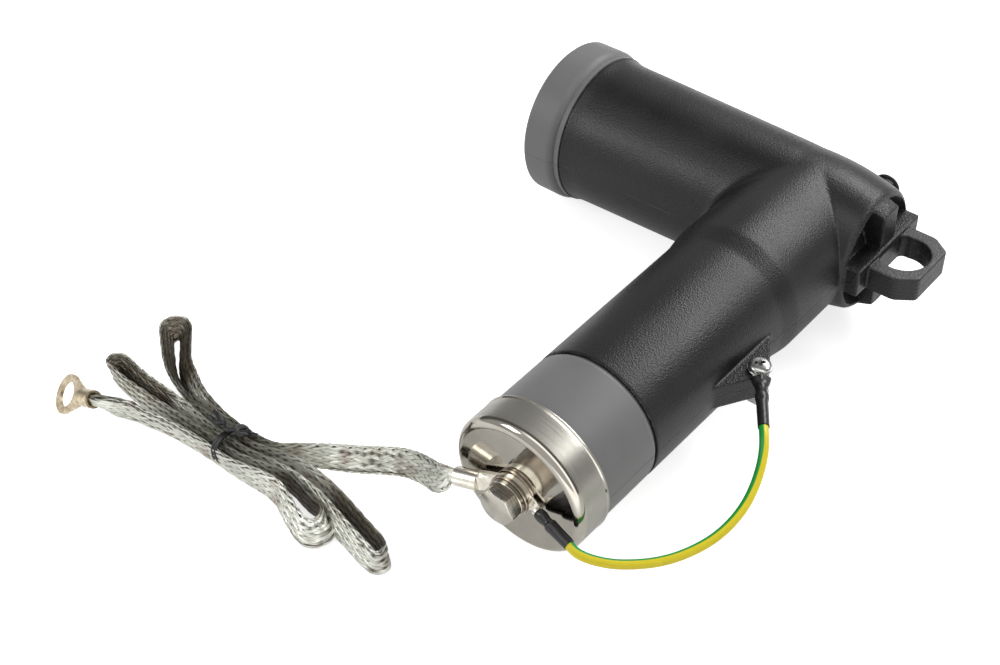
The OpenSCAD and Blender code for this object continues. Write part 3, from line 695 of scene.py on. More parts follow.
@dataclass(frozen=True)
class TinnedStrand:
    """Tinned copper wires laid side by side in a flat strand.

    A strand shines where it lies over its neighbours. It is painted darker where it dives
    under them, along its edges and in the grooves between its wires: painted shade. It has
    a blush of copper in patches. The hollow side of a fold is painted brown, as painted
    shade inside the loops. A strand holds about ten wires of 0.15 mm,
    and fewer and thicker ones are drawn, so that they show.
    """

    name: str
    bright: str = "f4f5ec"
    dull: str = "bfc2b5"
    worn: str = "8f8672"
    blush: str = "9c8479"
    # under: painted shade where a strand dives under, at its edges and between its wires; hollow:
    # painted shade on the hollow side of a fold.
    under: str = "40392c"
    hollow: str = "4d4232"
    wires: int = 4

    def build(self) -> bpy.types.Material:
        """Makes the material.

        Returns:
            The material, with all its nodes.
        """
        s = Shader(self.name)
        laid = s.node("ShaderNodeUVMap", uv_map="UVMap")
        along, across, _ = s.node(AXES, (laid,), None).outputs
        over, painted_fold_shade = (
            s.node("ShaderNodeAttribute", out="Fac", attribute_name=name)
            for name in ("over", "painted_fold_shade")
        )
        number = s.node(MATHS, (across,), operation="ROUND")
        wave = s.node(MATHS, (across, math.pi * self.wires), operation="MULTIPLY")
        wave = s.node(MATHS, (wave,), operation="SINE")
        round_wire = s.node(MATHS, (wave,), operation="ABSOLUTE")
        strand = s.node("ShaderNodeTexWhiteNoise", {"W": number}, "Value", noise_dimensions="1D")
        patch = s.node(NOISE, {"Vector": s.place, "Scale": 1000 / 7, "Detail": 3})
        far = s.node(MATHS, (along, 90), operation="MULTIPLY")
        wide = s.node(MATHS, (across, 5), operation="MULTIPLY")
        drawn_out = s.node("ShaderNodeCombineXYZ", (far, wide))
        streak = s.node(
            NOISE, {"Vector": drawn_out, "Scale": 1.0, "Detail": 3}, noise_dimensions="2D"
        )
        tone = s.node(MATHS, (strand, 0.3), operation="MULTIPLY")
        patchy = s.node(MATHS, (patch, 0.7), operation="MULTIPLY")
        tone = s.node(MATHS, (tone, patchy), operation="ADD")
        flush = s.node(NOISE, {"Vector": s.place, "Scale": 1000 / 11, "Detail": 2})
        off = s.node(MATHS, (across, number), operation="SUBTRACT")
        off = s.node(MATHS, (off,), operation="ABSOLUTE")
        edge = s.node(RANGE, (off, 0.3, 0.46, 0, 0.7))
        groove = s.node(RANGE, (round_wire, 0, 0.4, 0.45, 0))
        colour = self.bright
        # Painted shade: darker where a strand dives under, at its edges, in the grooves between
        # wires and on the hollow side of folds.
        for share, shade_of in (
            (s.node(RANGE, (tone, 0.35, 0.75, 0, 0.8)), self.dull),
            (s.node(RANGE, (streak, 0.54, 0.72, 0, 0.55)), self.worn),
            (s.node(RANGE, (flush, 0.55, 0.68, 0, 0.5)), self.blush),
            (s.node(RANGE, (over, -0.7, 0.3, 0.85, 0)), self.under),
            (s.node(MATHS, (edge, groove), operation="MAXIMUM"), self.under),
            (s.node(MATHS, (painted_fold_shade, 0.85), operation="MULTIPLY"), self.hollow),
        ):
            colour = s.node(MIX, {0: share, 6: colour, 7: shade_of}, 2, data_type="RGBA")
        return s.finished(
            Base_Color=colour,
            Metallic=0.85,
            Roughness=s.node(RANGE, (streak, 0.3, 0.7, 0.26, 0.46)),
            Normal=s.node(BUMP, {"Height": round_wire, "Distance": 0.1 * MM, "Strength": 0.7}),
        )


@dataclass(frozen=True)
class StripedCover:
    """PVC wire cover, extruded yellow with a green stripe let into it.

    The die leaves it glossy, with a faint waviness. The stripe's centre and
    share are parts of a turn round the wire.
    """

    name: str
    ground: str = "e8d61c"
    shadow: str = "d9c415"
    stripe: str = "0f9a3c"
    centre: float = 0.395
    share: float = 0.27
    edge: float = 0.012

    def build(self) -> bpy.types.Material:
        """Makes the material.

        Returns:
            The material, with all its nodes.
        """
        s = Shader(self.name)
        turn = s.node(AXES, (s.node("ShaderNodeUVMap", uv_map="UVMap"),), "Y")
        off = s.node(MATHS, (turn, self.centre), operation="SUBTRACT")
        off = s.node(MATHS, (off, 0.5, -0.5), operation="WRAP")
        off = s.node(MATHS, (off,), operation="ABSOLUTE")
        half = self.share / 2
        inside = s.node(RANGE, (off, half - self.edge, half + self.edge, 1, 0))
        cloud = s.node(NOISE, {"Vector": s.place, "Scale": 1000 / 6, "Detail": 3})
        clouded = s.node(RANGE, (cloud, 0.3, 0.7, 0, 0.5))
        wavy = s.node(NOISE, {"Vector": s.place, "Scale": 1000 / 1.2, "Detail": 2})
        colour = self.ground
        for share, tone in ((clouded, self.shadow), (inside, self.stripe)):
            colour = s.node(MIX, {0: share, 6: colour, 7: tone}, 2, data_type="RGBA")
        return s.finished(
            Base_Color=colour,
            Roughness=s.node(RANGE, (cloud, 0.3, 0.7, 0.32, 0.46)),
            Specular_IOR_Level=0.5,
            Normal=s.node(BUMP, {"Height": wavy, "Distance": 0.03 * MM, "Strength": 0.4}),
        )


@dataclass(frozen=True)
class Plastic:
    """Moulded, shrunk or pressed polymer: one colour, softly clouded, with a fine tooth."""

    name: str
    colour: str
    worn: str
    roughness: tuple[float, float]
    tooth_mm: float = 0.6
    tooth_depth_mm: float = 0.03

    def build(self) -> bpy.types.Material:
        """Makes the material.

        Returns:
            The material, with all its nodes.
        """
        s = Shader(self.name)
        cloud = s.node(NOISE, {"Vector": s.place, "Scale": 1000 / 7, "Detail": 3})
        tooth = s.node(NOISE, {"Vector": s.place, "Scale": 1000 / self.tooth_mm, "Detail": 3})
        share = s.node(RANGE, (cloud, 0.3, 0.7, 0, 1))
        depth = self.tooth_depth_mm * MM
        return s.finished(
            Base_Color=s.node(MIX, {0: share, 6: self.colour, 7: self.worn}, 2, data_type="RGBA"),
            Roughness=s.node(RANGE, (cloud, 0.3, 0.7, *self.roughness)),
            Normal=s.node(BUMP, {"Height": tooth, "Distance": depth, "Strength": 0.6}),
        )


@dataclass(frozen=True)
class WoundGlass:
    """Glass roving wound crosswise and bonded with resin: two sets of slanting lines."""

    name: str
    resin: str = "a9b184"
    fibre: str = "cdd3b2"
    starts: float = 24.0
    pitch: float = 900.0

    def build(self) -> bpy.types.Material:
        """Makes the material.

        Returns:
            The material, with all its nodes.
        """
        s = Shader(self.name)
        x, y, z = s.node(AXES, (s.place,), None).outputs
        up = s.node(MATHS, (z, CORNER.z), operation="SUBTRACT")
        out = s.node(MATHS, (x, CORNER.x), operation="SUBTRACT")
        turn = s.node(MATHS, (up, out), operation="ARCTAN2")
        rise = s.node(MATHS, (y, self.pitch), operation="MULTIPLY")
        lines = []
        for starts in (self.starts, -self.starts):
            slant = s.node(MATHS, (turn, starts, rise), operation="MULTIPLY_ADD")
            lines.append(s.node(MATHS, (slant,), operation="SINE"))
        weave = s.node(MATHS, lines, operation="MAXIMUM")
        share = s.node(RANGE, (weave, -0.2, 0.9, 0, 1))
        return s.finished(
            Base_Color=s.node(MIX, {0: share, 6: self.resin, 7: self.fibre}, 2, data_type="RGBA"),
            Roughness=0.4,
            Normal=s.node(BUMP, {"Height": weave, "Distance": 0.1 * MM, "Strength": 0.5}),
        )


class Finish(Enum):
    """The finishes of the whole part."""

    JACKET = MouldedRubber("moulded_epdm_black", "131313", "1c1c1c", 0.75, 0.1, (0.33, 0.4))
    BODY = MouldedRubber("moulded_epdm_grey", "6e6e6e", "757575", 0.7, 0.02, (0.42, 0.5))
    SHIELD = MouldedRubber("conductive_epdm", "232324", "2b2b2c", 0.8, 0.03, (0.5, 0.6), False)
    CAP = DrawnSteel("drawn_stainless_steel")
    BOLT = MachinedSteel(
        "turned_bolt_steel", "bcb8ae", "948c80", (0.16, 0.28), 5.0, 0.4, 0.9, 0.6
    )
    WASHER = MachinedSteel("stamped_washer_steel", "a89f92", "776b5c", (0.16, 0.28), 3.0, 0.5)
    ZINC = MachinedSteel("zinc_plated_steel", "b5b5b3", "8d8c87", (0.2, 0.3), 3.0, 0.4)
    SPRING = MachinedSteel("oiled_spring_steel", "8d8a84", "5f5c56", (0.3, 0.42))
    ALUMINIUM = MachinedSteel("turned_aluminium", "cfd1d3", "b4b6b8", (0.28, 0.4))
    SILVER = MachinedSteel("silver_plated_copper", "cdc4b2", "a3906c", (0.2, 0.34), 6.0)
    NEAR_LUG = MachinedSteel("tinned_copper_lug", "f2eee4", "b9ae96", (0.2, 0.3), 4.0, 0.4)
    FAR_LUG = MachinedSteel("worn_tinned_lug", "cdbfa4", "927f60", (0.24, 0.38), 2.6, 0.75)
    STRAND = TinnedStrand("tinned_copper_strand")
    # A dark sheet inside the braid, seen between its strands: painted shade.
    BRAID_SHADE = Plastic("shaded_braid_inside", "3b3425", "2a2418", (0.6, 0.7))
    WIRE = StripedCover("striped_pvc_cover")
    SHRINK = Plastic("heat_shrunk_sleeve", "131314", "1b1b1c", (0.26, 0.36), 1.5, 0.06)
    TIE = Plastic("coated_tie_wire", "0e0e10", "18181a", (0.34, 0.46), 0.8, 0.04)
    FOLLOWER = Plastic("arc_quenching_acetal", "e2dccb", "d6cfbb", (0.4, 0.5))
    DISC = Plastic("glazed_zinc_oxide", "3a383c", "2f2d31", (0.2, 0.3), 0.5, 0.02)
    GLASS = WoundGlass("wound_glass_fibre")

    def material(self) -> bpy.types.Material:
        """The finish's material, made the first time that it is asked for."""
        return bpy.data.materials.get(self.value.name) or self.value.build()


# Solid shapes from fields of distances


def filleted(first: np.ndarray, second: np.ndarray, radius: float | np.ndarray) -> np.ndarray:
    """Joins two fields of distances with a hollow fillet of a radius."""
    hollow = np.hypot(np.maximum(radius - first, 0), np.maximum(radius - second, 0))
    return np.maximum(np.minimum(first, second), radius) - hollow


def eased(first: np.ndarray, second: np.ndarray, radius: float) -> np.ndarray:
    """Keeps what two fields share, with its edge rounded to a radius."""
    swell = np.hypot(np.maximum(radius + first, 0), np.maximum(radius + second, 0))
    return np.minimum(np.maximum(first, second), -radius) + swell


def block(
    points: np.ndarray, low: Sequence[float], high: Sequence[float], radius: float
) -> np.ndarray:
    """Gives the distances to a box, in as many directions as its corners have.

    Args:
        points: Rows of coordinates.
        low: The box's corner with the smallest coordinates.
        high: The opposite corner.
        radius: How much its edges are rounded.

    Returns:
        Negative inside the box, positive outside.
    """
    middle, half = (np.array(low) + high) / 2, (np.array(high) - low) / 2 - radius
    off = np.abs(points - middle) - half
    return np.linalg.norm(np.maximum(off, 0), axis=1) + np.minimum(off.max(axis=1), 0) - radius


def ramp(along: np.ndarray, start: float, soft: float) -> np.ndarray:
    """Zero before a start and rising one for one after it, with a soft bend."""
    return 0.5 * (along - start + np.hypot(along - start, soft))


def graded(start: float, *runs: tuple[float, float]) -> np.ndarray:
    """Rules a line into ticks, finer where the form has small features.

    Args:
        start: The first tick.
        *runs: Where each run ends, and about how far its ticks stand apart.

    Returns:
        The ticks, in order.
    """
    ticks = [np.array([start])]
    for stop, step in runs:
        from_here = ticks[-1][-1]
        count = max(1, int(round((stop - from_here) / step)))
        ticks.append(np.linspace(from_here, stop, count + 1)[1:])
    return np.concatenate(ticks)


def net_over(
    field_of: Callable[[np.ndarray], np.ndarray], ticks: Sequence[np.ndarray]
) -> tuple[np.ndarray, np.ndarray]:
    """Lays a net of four-sided faces over the surface where a field is zero.

    Each cell of the grid that the surface passes through gets one point, and
    each edge that it crosses joins the points of the four cells round it.

    Args:
        field_of: Gives the distances of rows of points, negative inside.
        ticks: The planes in x, y and z that the net is searched between.

    Returns:
        The net's points, drawn onto the surface, and its faces, turned outwards.
    """
    count = [len(t) for t in ticks]
    grid = np.stack(np.meshgrid(*ticks, indexing="ij"), -1).reshape(-1, 3)
    value = field_of(grid).reshape(count)
    cells = [n - 1 for n in count]
    total, hits = np.zeros((*cells, 3)), np.zeros(cells)
    crossings = []
    for axis in range(3):
        near = tuple(slice(0, -1) if k == axis else slice(None) for k in range(3))
        far = tuple(slice(1, None) if k == axis else slice(None) for k in range(3))
        first, second = value[near], value[far]
        crossed = (first < 0) != (second < 0)
        share = np.where(crossed, first / np.where(crossed, first - second, 1), 0)
        crossings.append((crossed, first < 0))
        u, v = (k for k in range(3) if k != axis)
        for at_u in (0, 1):
            for at_v in (0, 1):
                window = [slice(None)] * 3
                window[u] = slice(at_u, at_u + cells[u])
                window[v] = slice(at_v, at_v + cells[v])
                here = crossed[tuple(window)]
                hits += here
                total[..., axis] += share[tuple(window)]
                total[..., u] += at_u * here
                total[..., v] += at_v * here
    used = hits > 0
    number = np.full(cells, -1)
    number[used] = np.arange(used.sum())
    place = np.argwhere(used) + total[used] / hits[used][:, None]
    points = np.stack([np.interp(place[:, k], np.arange(count[k]), ticks[k]) for k in range(3)], 1)
    faces = []
    for axis, (crossed, from_inside) in enumerate(crossings):
        u, v = (axis + 1) % 3, (axis + 2) % 3
        at = np.argwhere(crossed)
        at = at[(at[:, u] > 0) & (at[:, v] > 0) & (at[:, u] < cells[u]) & (at[:, v] < cells[v])]
        ring = []
        for du, dv in ((1, 1), (0, 1), (0, 0), (1, 0)):
            cell = at.copy()
            cell[:, u] -= du
            cell[:, v] -= dv
            ring.append(number[tuple(cell.T)])
        quads = np.stack(ring, 1)
        outward = from_inside[tuple(at.T)]
        faces.append(np.where(outward[:, None], quads, quads[:, ::-1]))
    probe, reach, gentlest = 0.05, 0.5, 0.2
    for _ in range(4):
        here = field_of(points)
        slope = np.stack([(field_of(points + d) - here) / probe for d in np.eye(3) * probe], 1)
        move = here / np.maximum((slope**2).sum(1), gentlest)
        points = points - np.clip(move, -reach, reach)[:, None] * slope
    return points, np.concatenate(faces)


class Piece:
    """A visible piece in place of CAD nodes; a subclass holds its sizes and its shape."""

    finish: Finish
    slot: str
    nodes: tuple[str, ...]

    def shape(self) -> bpy.types.Object:
        """Makes the piece's mesh."""
        raise NotImplementedError

    def build(self) -> bpy.types.Object:
        """Makes the piece in place of its CAD nodes, with its finish.

        Returns:
            The piece.
        """
        made = dress(self.shape(), self.finish.material())
        return seat(made, self.slot, *self.nodes)


@dataclass
class Jacket(Piece):
    """Black rubber jacket: two legs, the cross at the rear, pulling eye, tab and test boss.

    All outer faces are one net over a field of distances, in millimetres from
    the corner where the legs' middle lines meet, so that each form runs into
    the next with the fillet that its mould gives it. Leg A is the bushing leg
    and leg B the arrester leg; a pair of radii is near the corner and far.
    """

    finish = Finish.JACKET
    slot = "black_rubber"
    nodes = ("jacket",)

    leg_a_r: tuple[float, float] = (35.6, 38)
    leg_a_end: float = 125
    leg_a_edge: float = 0.8
    flare: tuple[float, float] = (119, 38.9)
    taper_from: float = 8
    bends: tuple[float, float] = (5, 2)
    rear: float = 37.3
    rim_r: float = 30.1
    rim_round: float = 3.4
    rim_bow: float = 0.0008
    dish_r: float = 27.7
    dish_floor_r: float = 19
    dish_depth: float = 8.5
    dish_edge: float = 0.4
    neck_r: float = 35.6
    neck_len: float = 65
    shoulder_len: float = 12.5
    shoulder_lap: float = 2.5
    shoulder_bend: float = 1.2
    leg_b_r: tuple[float, float] = (33.9, 33.4)
    leg_b_end: float = 168.4
    leg_b_edge: float = 0.5
    crotch: float = 4.5
    valley: float = 0.6
    valley_from: float = 12
    valley_run: float = 26
    fullness: float = 1.6
    wall: float = 3.5
    body_rear: float = 28
    mouth: tuple[float, float] = (32.1, 6)
    plate: float = 6.5
    bar: tuple[float, float] = (44, 27.5)
    bar_top: float = 8
    bar_edge: float = 0.9
    rib: tuple[float, float, float] = (6.4, 29.4, 0.38)
    rib_drop: float = 0.5
    rib_edges: tuple[float, float] = (0.7, 0.5)
    cross_join: float = 0.6
    eye_reach: float = 67
    eye_half: tuple[float, float] = (19, 12.8)
    eye_corner: float = 9
    eye_rounds: tuple[float, float] = (0.5, 1.2)
    eye_join: float = 0.5
    rear_join: float = 0.6
    eye_hole: tuple[float, float] = (51.8, 12.2)
    eye_edge: float = 0.7
    tab_at: float = 106.3
    tab_screw: float = 42
    tab_point_r: float = 4.3
    tab_half_len: float = 20
    tab_edge: float = 0.6
    tab_join: float = 0.7
    screw_hole_r: float = 2.6
    test_at: float = 16
    test_boss: tuple[float, float] = (4.8, 42)
    boss_edge: float = 0.5
    boss_join: float = 1.5
    stud_hole_r: float = 2.1

    def leg_a_radius(self, s: np.ndarray) -> np.ndarray:
        """Gives the outer radius of the bushing leg: rear cone, tube and flared lip.

        Args:
            s: Distances from the corner towards the mouth.

        Returns:
            The radii.
        """
        cone = (self.leg_a_r[0] - self.rim_r) / (self.rear + self.taper_from)
        tube_slope = (self.leg_a_r[1] - self.leg_a_r[0]) / (self.flare[0] - self.taper_from)
        lip = (self.flare[1] - self.leg_a_r[1]) / (self.leg_a_end - self.flare[0])
        radius = self.rim_r + cone * (s + self.rear)
        radius = radius + (tube_slope - cone) * ramp(s, self.taper_from, self.bends[0])
        return radius + (lip - tube_slope) * ramp(s, self.flare[0], self.bends[1])

    def leg_b_radius(self, t: np.ndarray) -> np.ndarray:
        """Gives the outer radius of the arrester leg: neck, shoulder and slim tube.

        Args:
            t: Distances from the corner towards the cap.

        Returns:
            The radii.
        """
        start = self.neck_len
        stop = self.neck_len + self.shoulder_len - self.shoulder_lap
        step = (self.neck_r - self.leg_b_r[0]) / (stop - start)
        slim = (self.leg_b_r[0] - self.leg_b_r[1]) / (self.leg_b_end - stop)
        radius = self.neck_r - step * ramp(t, start, self.shoulder_bend)
        return radius + (step - slim) * ramp(t, stop, self.shoulder_bend)

    def legs(self, p: np.ndarray) -> np.ndarray:
        """Gives the distances to both legs, with the fillet between them.

        Args:
            p: Rows of x, y and z from the corner.

        Returns:
            Negative inside, positive outside.
        """
        x, y, z = p.T
        round_a, round_b = np.hypot(y, z), np.hypot(x, z)
        along_cone = np.clip((x + self.taper_from) / (self.rear + self.taper_from), 0, 1)
        hump = self.fullness * np.sin(np.pi * along_cone)
        side_a = round_a - self.leg_a_radius(-x) - hump
        leg_a = eased(side_a, -x - self.leg_a_end, self.leg_a_edge)
        leg_a = eased(leg_a, x - (self.rear - self.rim_bow * z**2), self.rim_round)
        outwards = np.clip((round_a - self.dish_floor_r) / (self.dish_r - self.dish_floor_r), 0, 1)
        floor = self.rear - self.dish_depth + (self.dish_depth - 1) * outwards
        dish = np.maximum(floor - x, round_a - self.dish_r)
        leg_a = eased(leg_a, -dish, self.dish_edge)
        leg_b = eased(round_b - self.leg_b_radius(-y), -y - self.leg_b_end, self.leg_b_edge)
        leg_b = np.maximum(leg_b, y)
        alike = z**2 / np.maximum(round_a * round_b, 1)
        side = np.clip((self.valley_from - x) / self.valley_run, 0, 1)
        radius = self.valley + (self.crotch - self.valley) * side * side * (3 - 2 * side)
        return filleted(leg_a, leg_b, radius * np.clip(1 - alike**2, 0.02, 1))

    def rear_end(self, p: np.ndarray) -> np.ndarray:
        """Gives the distances to the cross at the rear and the pulling eye.

        Args:
            p: Rows of x, y and z from the corner.

        Returns:
            Negative inside, positive outside.
        """
        x, y, z = p.T
        front, half = self.bar
        low, high = (self.body_rear, -half, -self.plate), (front, half, self.bar_top)
        bar = block(p, low, high, self.bar_edge)
        rib_w, rib_h, slope = self.rib
        tall, (rib_edge, end_edge) = rib_h + 4, self.rib_edges
        far = (front - 1.5, rib_w, tall)
        rib = block(p, (self.body_rear, -rib_w, -tall), far, rib_edge)
        rib_end = np.hypot(y, z + self.rib_drop) - rib_h + slope * (x - self.rear + 1)
        cross = filleted(bar, eased(rib, rib_end, end_edge), self.cross_join)
        wide, tip = self.eye_half
        slant = np.array((wide - tip, self.eye_corner)) / math.hypot(wide - tip, self.eye_corner)
        tip_round, corner_round = self.eye_rounds
        plan = eased(np.abs(y) - wide, x - self.eye_reach, tip_round)
        corner = slant[0] * (x - self.eye_reach) + slant[1] * (np.abs(y) - tip)
        plan = eased(plan, corner, corner_round)
        eye = eased(np.maximum(plan, front - 2 - x), np.abs(z) - self.plate, self.eye_edge)
        return filleted(cross, eye, self.eye_join)

    def tab(self, p: np.ndarray) -> np.ndarray:
        """Gives the distances to the earth tab: a triangle rounded about its screw.

        Args:
            p: Rows of x, y and z from the corner.

        Returns:
            Negative inside, positive outside.
        """
        x, y, z = p.T
        rise = math.atan((self.tab_screw - self.leg_b_r[0] + self.tab_point_r) / self.tab_half_len)
        u, v = x - self.tab_screw, np.abs(y + self.tab_at)
        past = -math.sin(rise) * u + math.cos(rise) * v
        flank = math.cos(rise) * u + math.sin(rise) * v
        plan = np.where(past > 0, flank, np.hypot(u, v)) - self.tab_point_r
        return eased(np.maximum(plan, 20 - x), np.abs(z) - self.plate, self.tab_edge)

    def outside(self, p: np.ndarray) -> np.ndarray:
        """Gives the distances to the jacket's outer faces.

        Args:
            p: Rows of x, y and z from the corner.

        Returns:
            Negative inside the jacket's outline, positive outside.
        """
        x, y, z = p.T
        made = filleted(self.legs(p), self.rear_end(p), self.rear_join)
        made = filleted(made, self.tab(p), self.tab_join)
        boss_r, boss_top = self.test_boss
        boss = eased(np.hypot(x - self.test_at, z) - boss_r, y - boss_top, self.boss_edge)
        made = filleted(made, np.maximum(boss, -y), self.boss_join)
        middle, hole_r = self.eye_hole
        back = self.bar[0] + 0.5
        square = block(p[:, :2], (back, 0.3 - hole_r), (middle + 3, hole_r - 0.3), 3)
        hole = np.minimum(np.maximum(np.hypot(x - middle, y) - hole_r, back - x), square)
        return eased(made, -hole, self.eye_edge)

    def cutters(self) -> list[bpy.types.Object]:
        """Makes the spaces taken out of the jacket.

        Returns:
            The grey body's two legs, the screw's hole and the test stud's hole.
        """
        w, rear = self.wall, self.body_rear
        ends = np.array((-rear, -8, self.taper_from, self.flare[0], self.leg_a_end + 1))
        profile = [(0, ends[0]), *zip(self.leg_a_radius(ends) - w, ends), (0, ends[-1])]
        leg_a = lathe("space_a", profile, along_bushing_leg())
        lip_r, lip = self.mouth
        end, lip_at = self.leg_b_end + 1, self.leg_b_end - lip
        stations = np.array((0, self.neck_len, self.neck_len + self.shoulder_len, lip_at))
        inner = zip(self.leg_b_radius(stations) - w, stations)
        profile = [(0, 0), *inner, (lip_r, lip_at), (lip_r, end), (0, end)]
        leg_b = lathe("space_b", profile, along_arrester_leg())
        size, reach = 200, -self.dish_r - w
        beyond = Vector((rear + size / 2, reach + size / 2, 0))
        leg_b = cut(leg_b, box_from("stop", size, lambda corner: corner + beyond, from_corner()))
        up, back = from_corner(self.tab_screw, -self.tab_at), from_corner(self.test_at)
        made = [leg_a, leg_b]
        for name, r, low, high, place, sides in (
            ("screw_hole", self.screw_hole_r, -10, 10, up, 48),
            ("stud_hole", self.stud_hole_r, 1, 50, back @ turned(-90, "X"), 32),
        ):
            made.append(lathe(name, [(0, low), (r, low), (r, high), (0, high)], place, sides))
        return made

    def shape(self) -> bpy.types.Object:
        """Makes the jacket: its outer net, less the spaces in it.

        Returns:
            The jacket, undressed.
        """
        along_a = graded(
            -self.leg_a_end - 2,
            (-112, 0.8), (8, 2.2), (24, 1.4), (48, 0.6), (self.eye_reach + 2, 0.8),
        )  # fmt: skip
        along_b = graded(
            -self.leg_b_end - 2.5,
            (-160, 0.9), (-130, 2.0), (-62, 0.9), (-44, 1.7), (-24, 0.8), (24, 1.0), (33, 0.8),
            (44, 1.2),
        )  # fmt: skip
        upright = graded(
            -41,
            (-31, 1.2), (-22, 0.8), (-9, 1.1), (9, 0.66), (20, 1.1), (37, 0.7), (41, 1.2),
        )  # fmt: skip
        points, faces = net_over(self.outside, (along_a, along_b, upright))
        made = piece_from("jacket_rubber", points * MM + np.array(CORNER), faces)
        for cutter in self.cutters():
            made = cut(made, cutter)
        shade(made.data, 38)
        return made


# Metal and sleeves


@dataclass
class EndCap(Piece):
    """Drawn steel cup on the arrester leg: rolled rear edge, rounded rim, flat face.

    Its sizes are in millimetres along and about the arrester leg. The side
    waves in and out by side_wave, and the rim stands face_sink above the face.
    """

    finish = Finish.CAP
    slot = "stainless"
    nodes = ("end_cap",)

    rear: float = 202.5
    face: float = 220.5
    radius: float = 34.1
    sheet: float = 1.0
    rim: float = 4.0
    hole: float = 5.1
    roll: float = 0.25
    roll_len: float = 2.6
    face_sink: float = 0.12
    side_wave: float = 0.02

    def shape(self) -> bpy.types.Object:
        """Makes the cap: its profile from the rolled edge, over the rim and back inside.

        Returns:
            The cap, undressed.
        """
        r, rear, face, sheet = self.radius, self.rear, self.face, self.sheet
        rolled = r + self.roll
        profile = [
            (r - sheet, rear + 0.3), (r - 0.5, rear), (rolled - 0.1, rear + 0.12),
            (rolled, rear + 0.45), (rolled, rear + 0.95), (r + 0.02, rear + 1.3),
            (r - 0.12, rear + 1.6), (r - 0.02, rear + 2.1), (r, rear + self.roll_len),
        ]  # fmt: skip
        middle, inner, top = r - self.rim, self.rim - sheet, face + self.face_sink
        straight = face - self.rim - rear - self.roll_len
        for k in range(1, 6):
            profile.append((r - self.side_wave * (k % 2), rear + self.roll_len + straight * k / 5))
        for k in range(1, 12):
            a = math.pi / 2 * k / 12
            out, up = self.rim * math.cos(a), self.rim * math.sin(a)
            profile.append((middle + out, top - self.rim + up))
        profile += [(middle, top), (middle - 0.35, face + 0.08), (middle - 0.6, face)]
        profile += [(self.hole, face), (self.hole, face - sheet), (middle, face - sheet)]
        for k in range(1, 6):
            a = math.pi / 2 * (1 - k / 6)
            profile.append((middle + inner * math.cos(a), face - self.rim + inner * math.sin(a)))
        profile.append((r - sheet, face - self.rim))
        made = lathe("drawn_cap", profile, along_arrester_leg(), 144)
        shade(made.data, 24)
        return made


@dataclass
class Hardware:
    """Bolt, washers, lugs and nut: the CAD solids with their edges broken.

    Each has its finish, its slot and how wide its edges become. The spring
    washer is turned half round, so its split faces the table.
    """

    split: str = "spring_washer"
    edges: dict[str, tuple[Finish, str, float]] = field(
        default_factory=lambda: {
            "earth_bolt": (Finish.BOLT, "bolt_steel", 0.16),
            "seat_washer": (Finish.WASHER, "bolt_steel", 0.18),
            "head_washer": (Finish.WASHER, "bolt_steel", 0.25),
            "spring_washer": (Finish.BOLT, "bolt_steel", 0.3),
            "braid_lug_near": (Finish.NEAR_LUG, "tinned_lug", 0.3),
            "braid_lug_far": (Finish.FAR_LUG, "tinned_lug", 0.35),
            "drain_lug_cap": (Finish.NEAR_LUG, "tinned_lug", 0.15),
            "drain_lug_tab": (Finish.NEAR_LUG, "tinned_lug", 0.15),
            "tab_washer": (Finish.ZINC, "zinc_steel", 0.2),
            "tab_nut": (Finish.ZINC, "zinc_steel", 0.25),
        }
    )

    def build(self, nodes: dict[str, bpy.types.Object]) -> dict[str, bpy.types.Object]:
        """Makes every piece in place of its CAD solid.

        Args:
            nodes: The CAD nodes by name.

        Returns:
            The new pieces by their CAD nodes' names.
        """
        made = {}
        half_turn = Matrix.Translation(CORNER) @ turned(180, "Y") @ Matrix.Translation(-CORNER)
        for name, (finish, slot, width) in self.edges.items():
            turn = half_turn if name == self.split else None
            piece = softened(nodes[name], f"{name}_edged", width, turn)
            made[name] = seat(dress(piece, finish.material()), slot, name)
        return made


@dataclass
class PanScrew(Piece):
    """Pan-head screw with a cross recess and its captive washer, upright in the tab.

    The recess narrows downwards to shares of an arm's length and width.
    """

    finish = Finish.ZINC
    slot = "zinc_steel"
    nodes = ("tab_screw",)

    at: tuple[float, float, float] = (42, -106.3, 7.3)
    head_r: float = 5.15
    head_h: float = 3.1
    washer_r: float = 5.5
    shank_r: float = 2.5
    length: float = 19.8
    arm: tuple[float, float, float] = (5.6, 1.8, 2.6)
    arm_taper: tuple[float, float] = (0.45, 0.6)
    turned: float = 42

    def shape(self) -> bpy.types.Object:
        """Makes the screw, and cuts the two arms of its recess.

        Returns:
            The screw, undressed.
        """
        place = from_corner(*self.at)
        r, h, w, end = self.head_r, self.head_h, self.washer_r, -self.length
        profile = [
            (0, end), (self.shank_r - 0.3, end), (self.shank_r, 0.3 + end),
            (self.shank_r, 0), (w - 0.1, 0), (w, 0.12), (w, 0.4), (w - 0.15, 0.55), (r - 0.35, 0.6),
            (r - 0.1, 0.7), (r, 0.95), (r, 1.25), (r - 0.12, 1.7), (r - 0.45, 2.15), (r - 1.0, 2.6),
            (r - 1.8, h - 0.2), (r - 2.8, h), (r - 3.9, h + 0.12), (0, h + 0.15),
        ]  # fmt: skip
        made = lathe("pan_screw", profile, place, 72)
        long, wide, deep = self.arm

        def arm_corner(corner: Vector) -> Vector:
            """Draws a corner of the unit cube out to the arm's tapered shape.

            Args:
                corner: Half an edge away from the origin each way.

            Returns:
                The corner on the screw, in millimetres.
            """
            low = corner.z < 0
            thin = self.arm_taper if low else (1.0, 1.0)
            moved = Vector(
                (corner.x * long * thin[0], corner.y * wide * thin[1], -deep if low else 0.4)
            )
            moved.z += h + 0.2
            return moved

        for turn in (self.turned, self.turned + 90):
            made = cut(made, box_from("recess", 1, arm_corner, place @ turned(turn, "Z")))
        shade(made.data, 35)
        return made


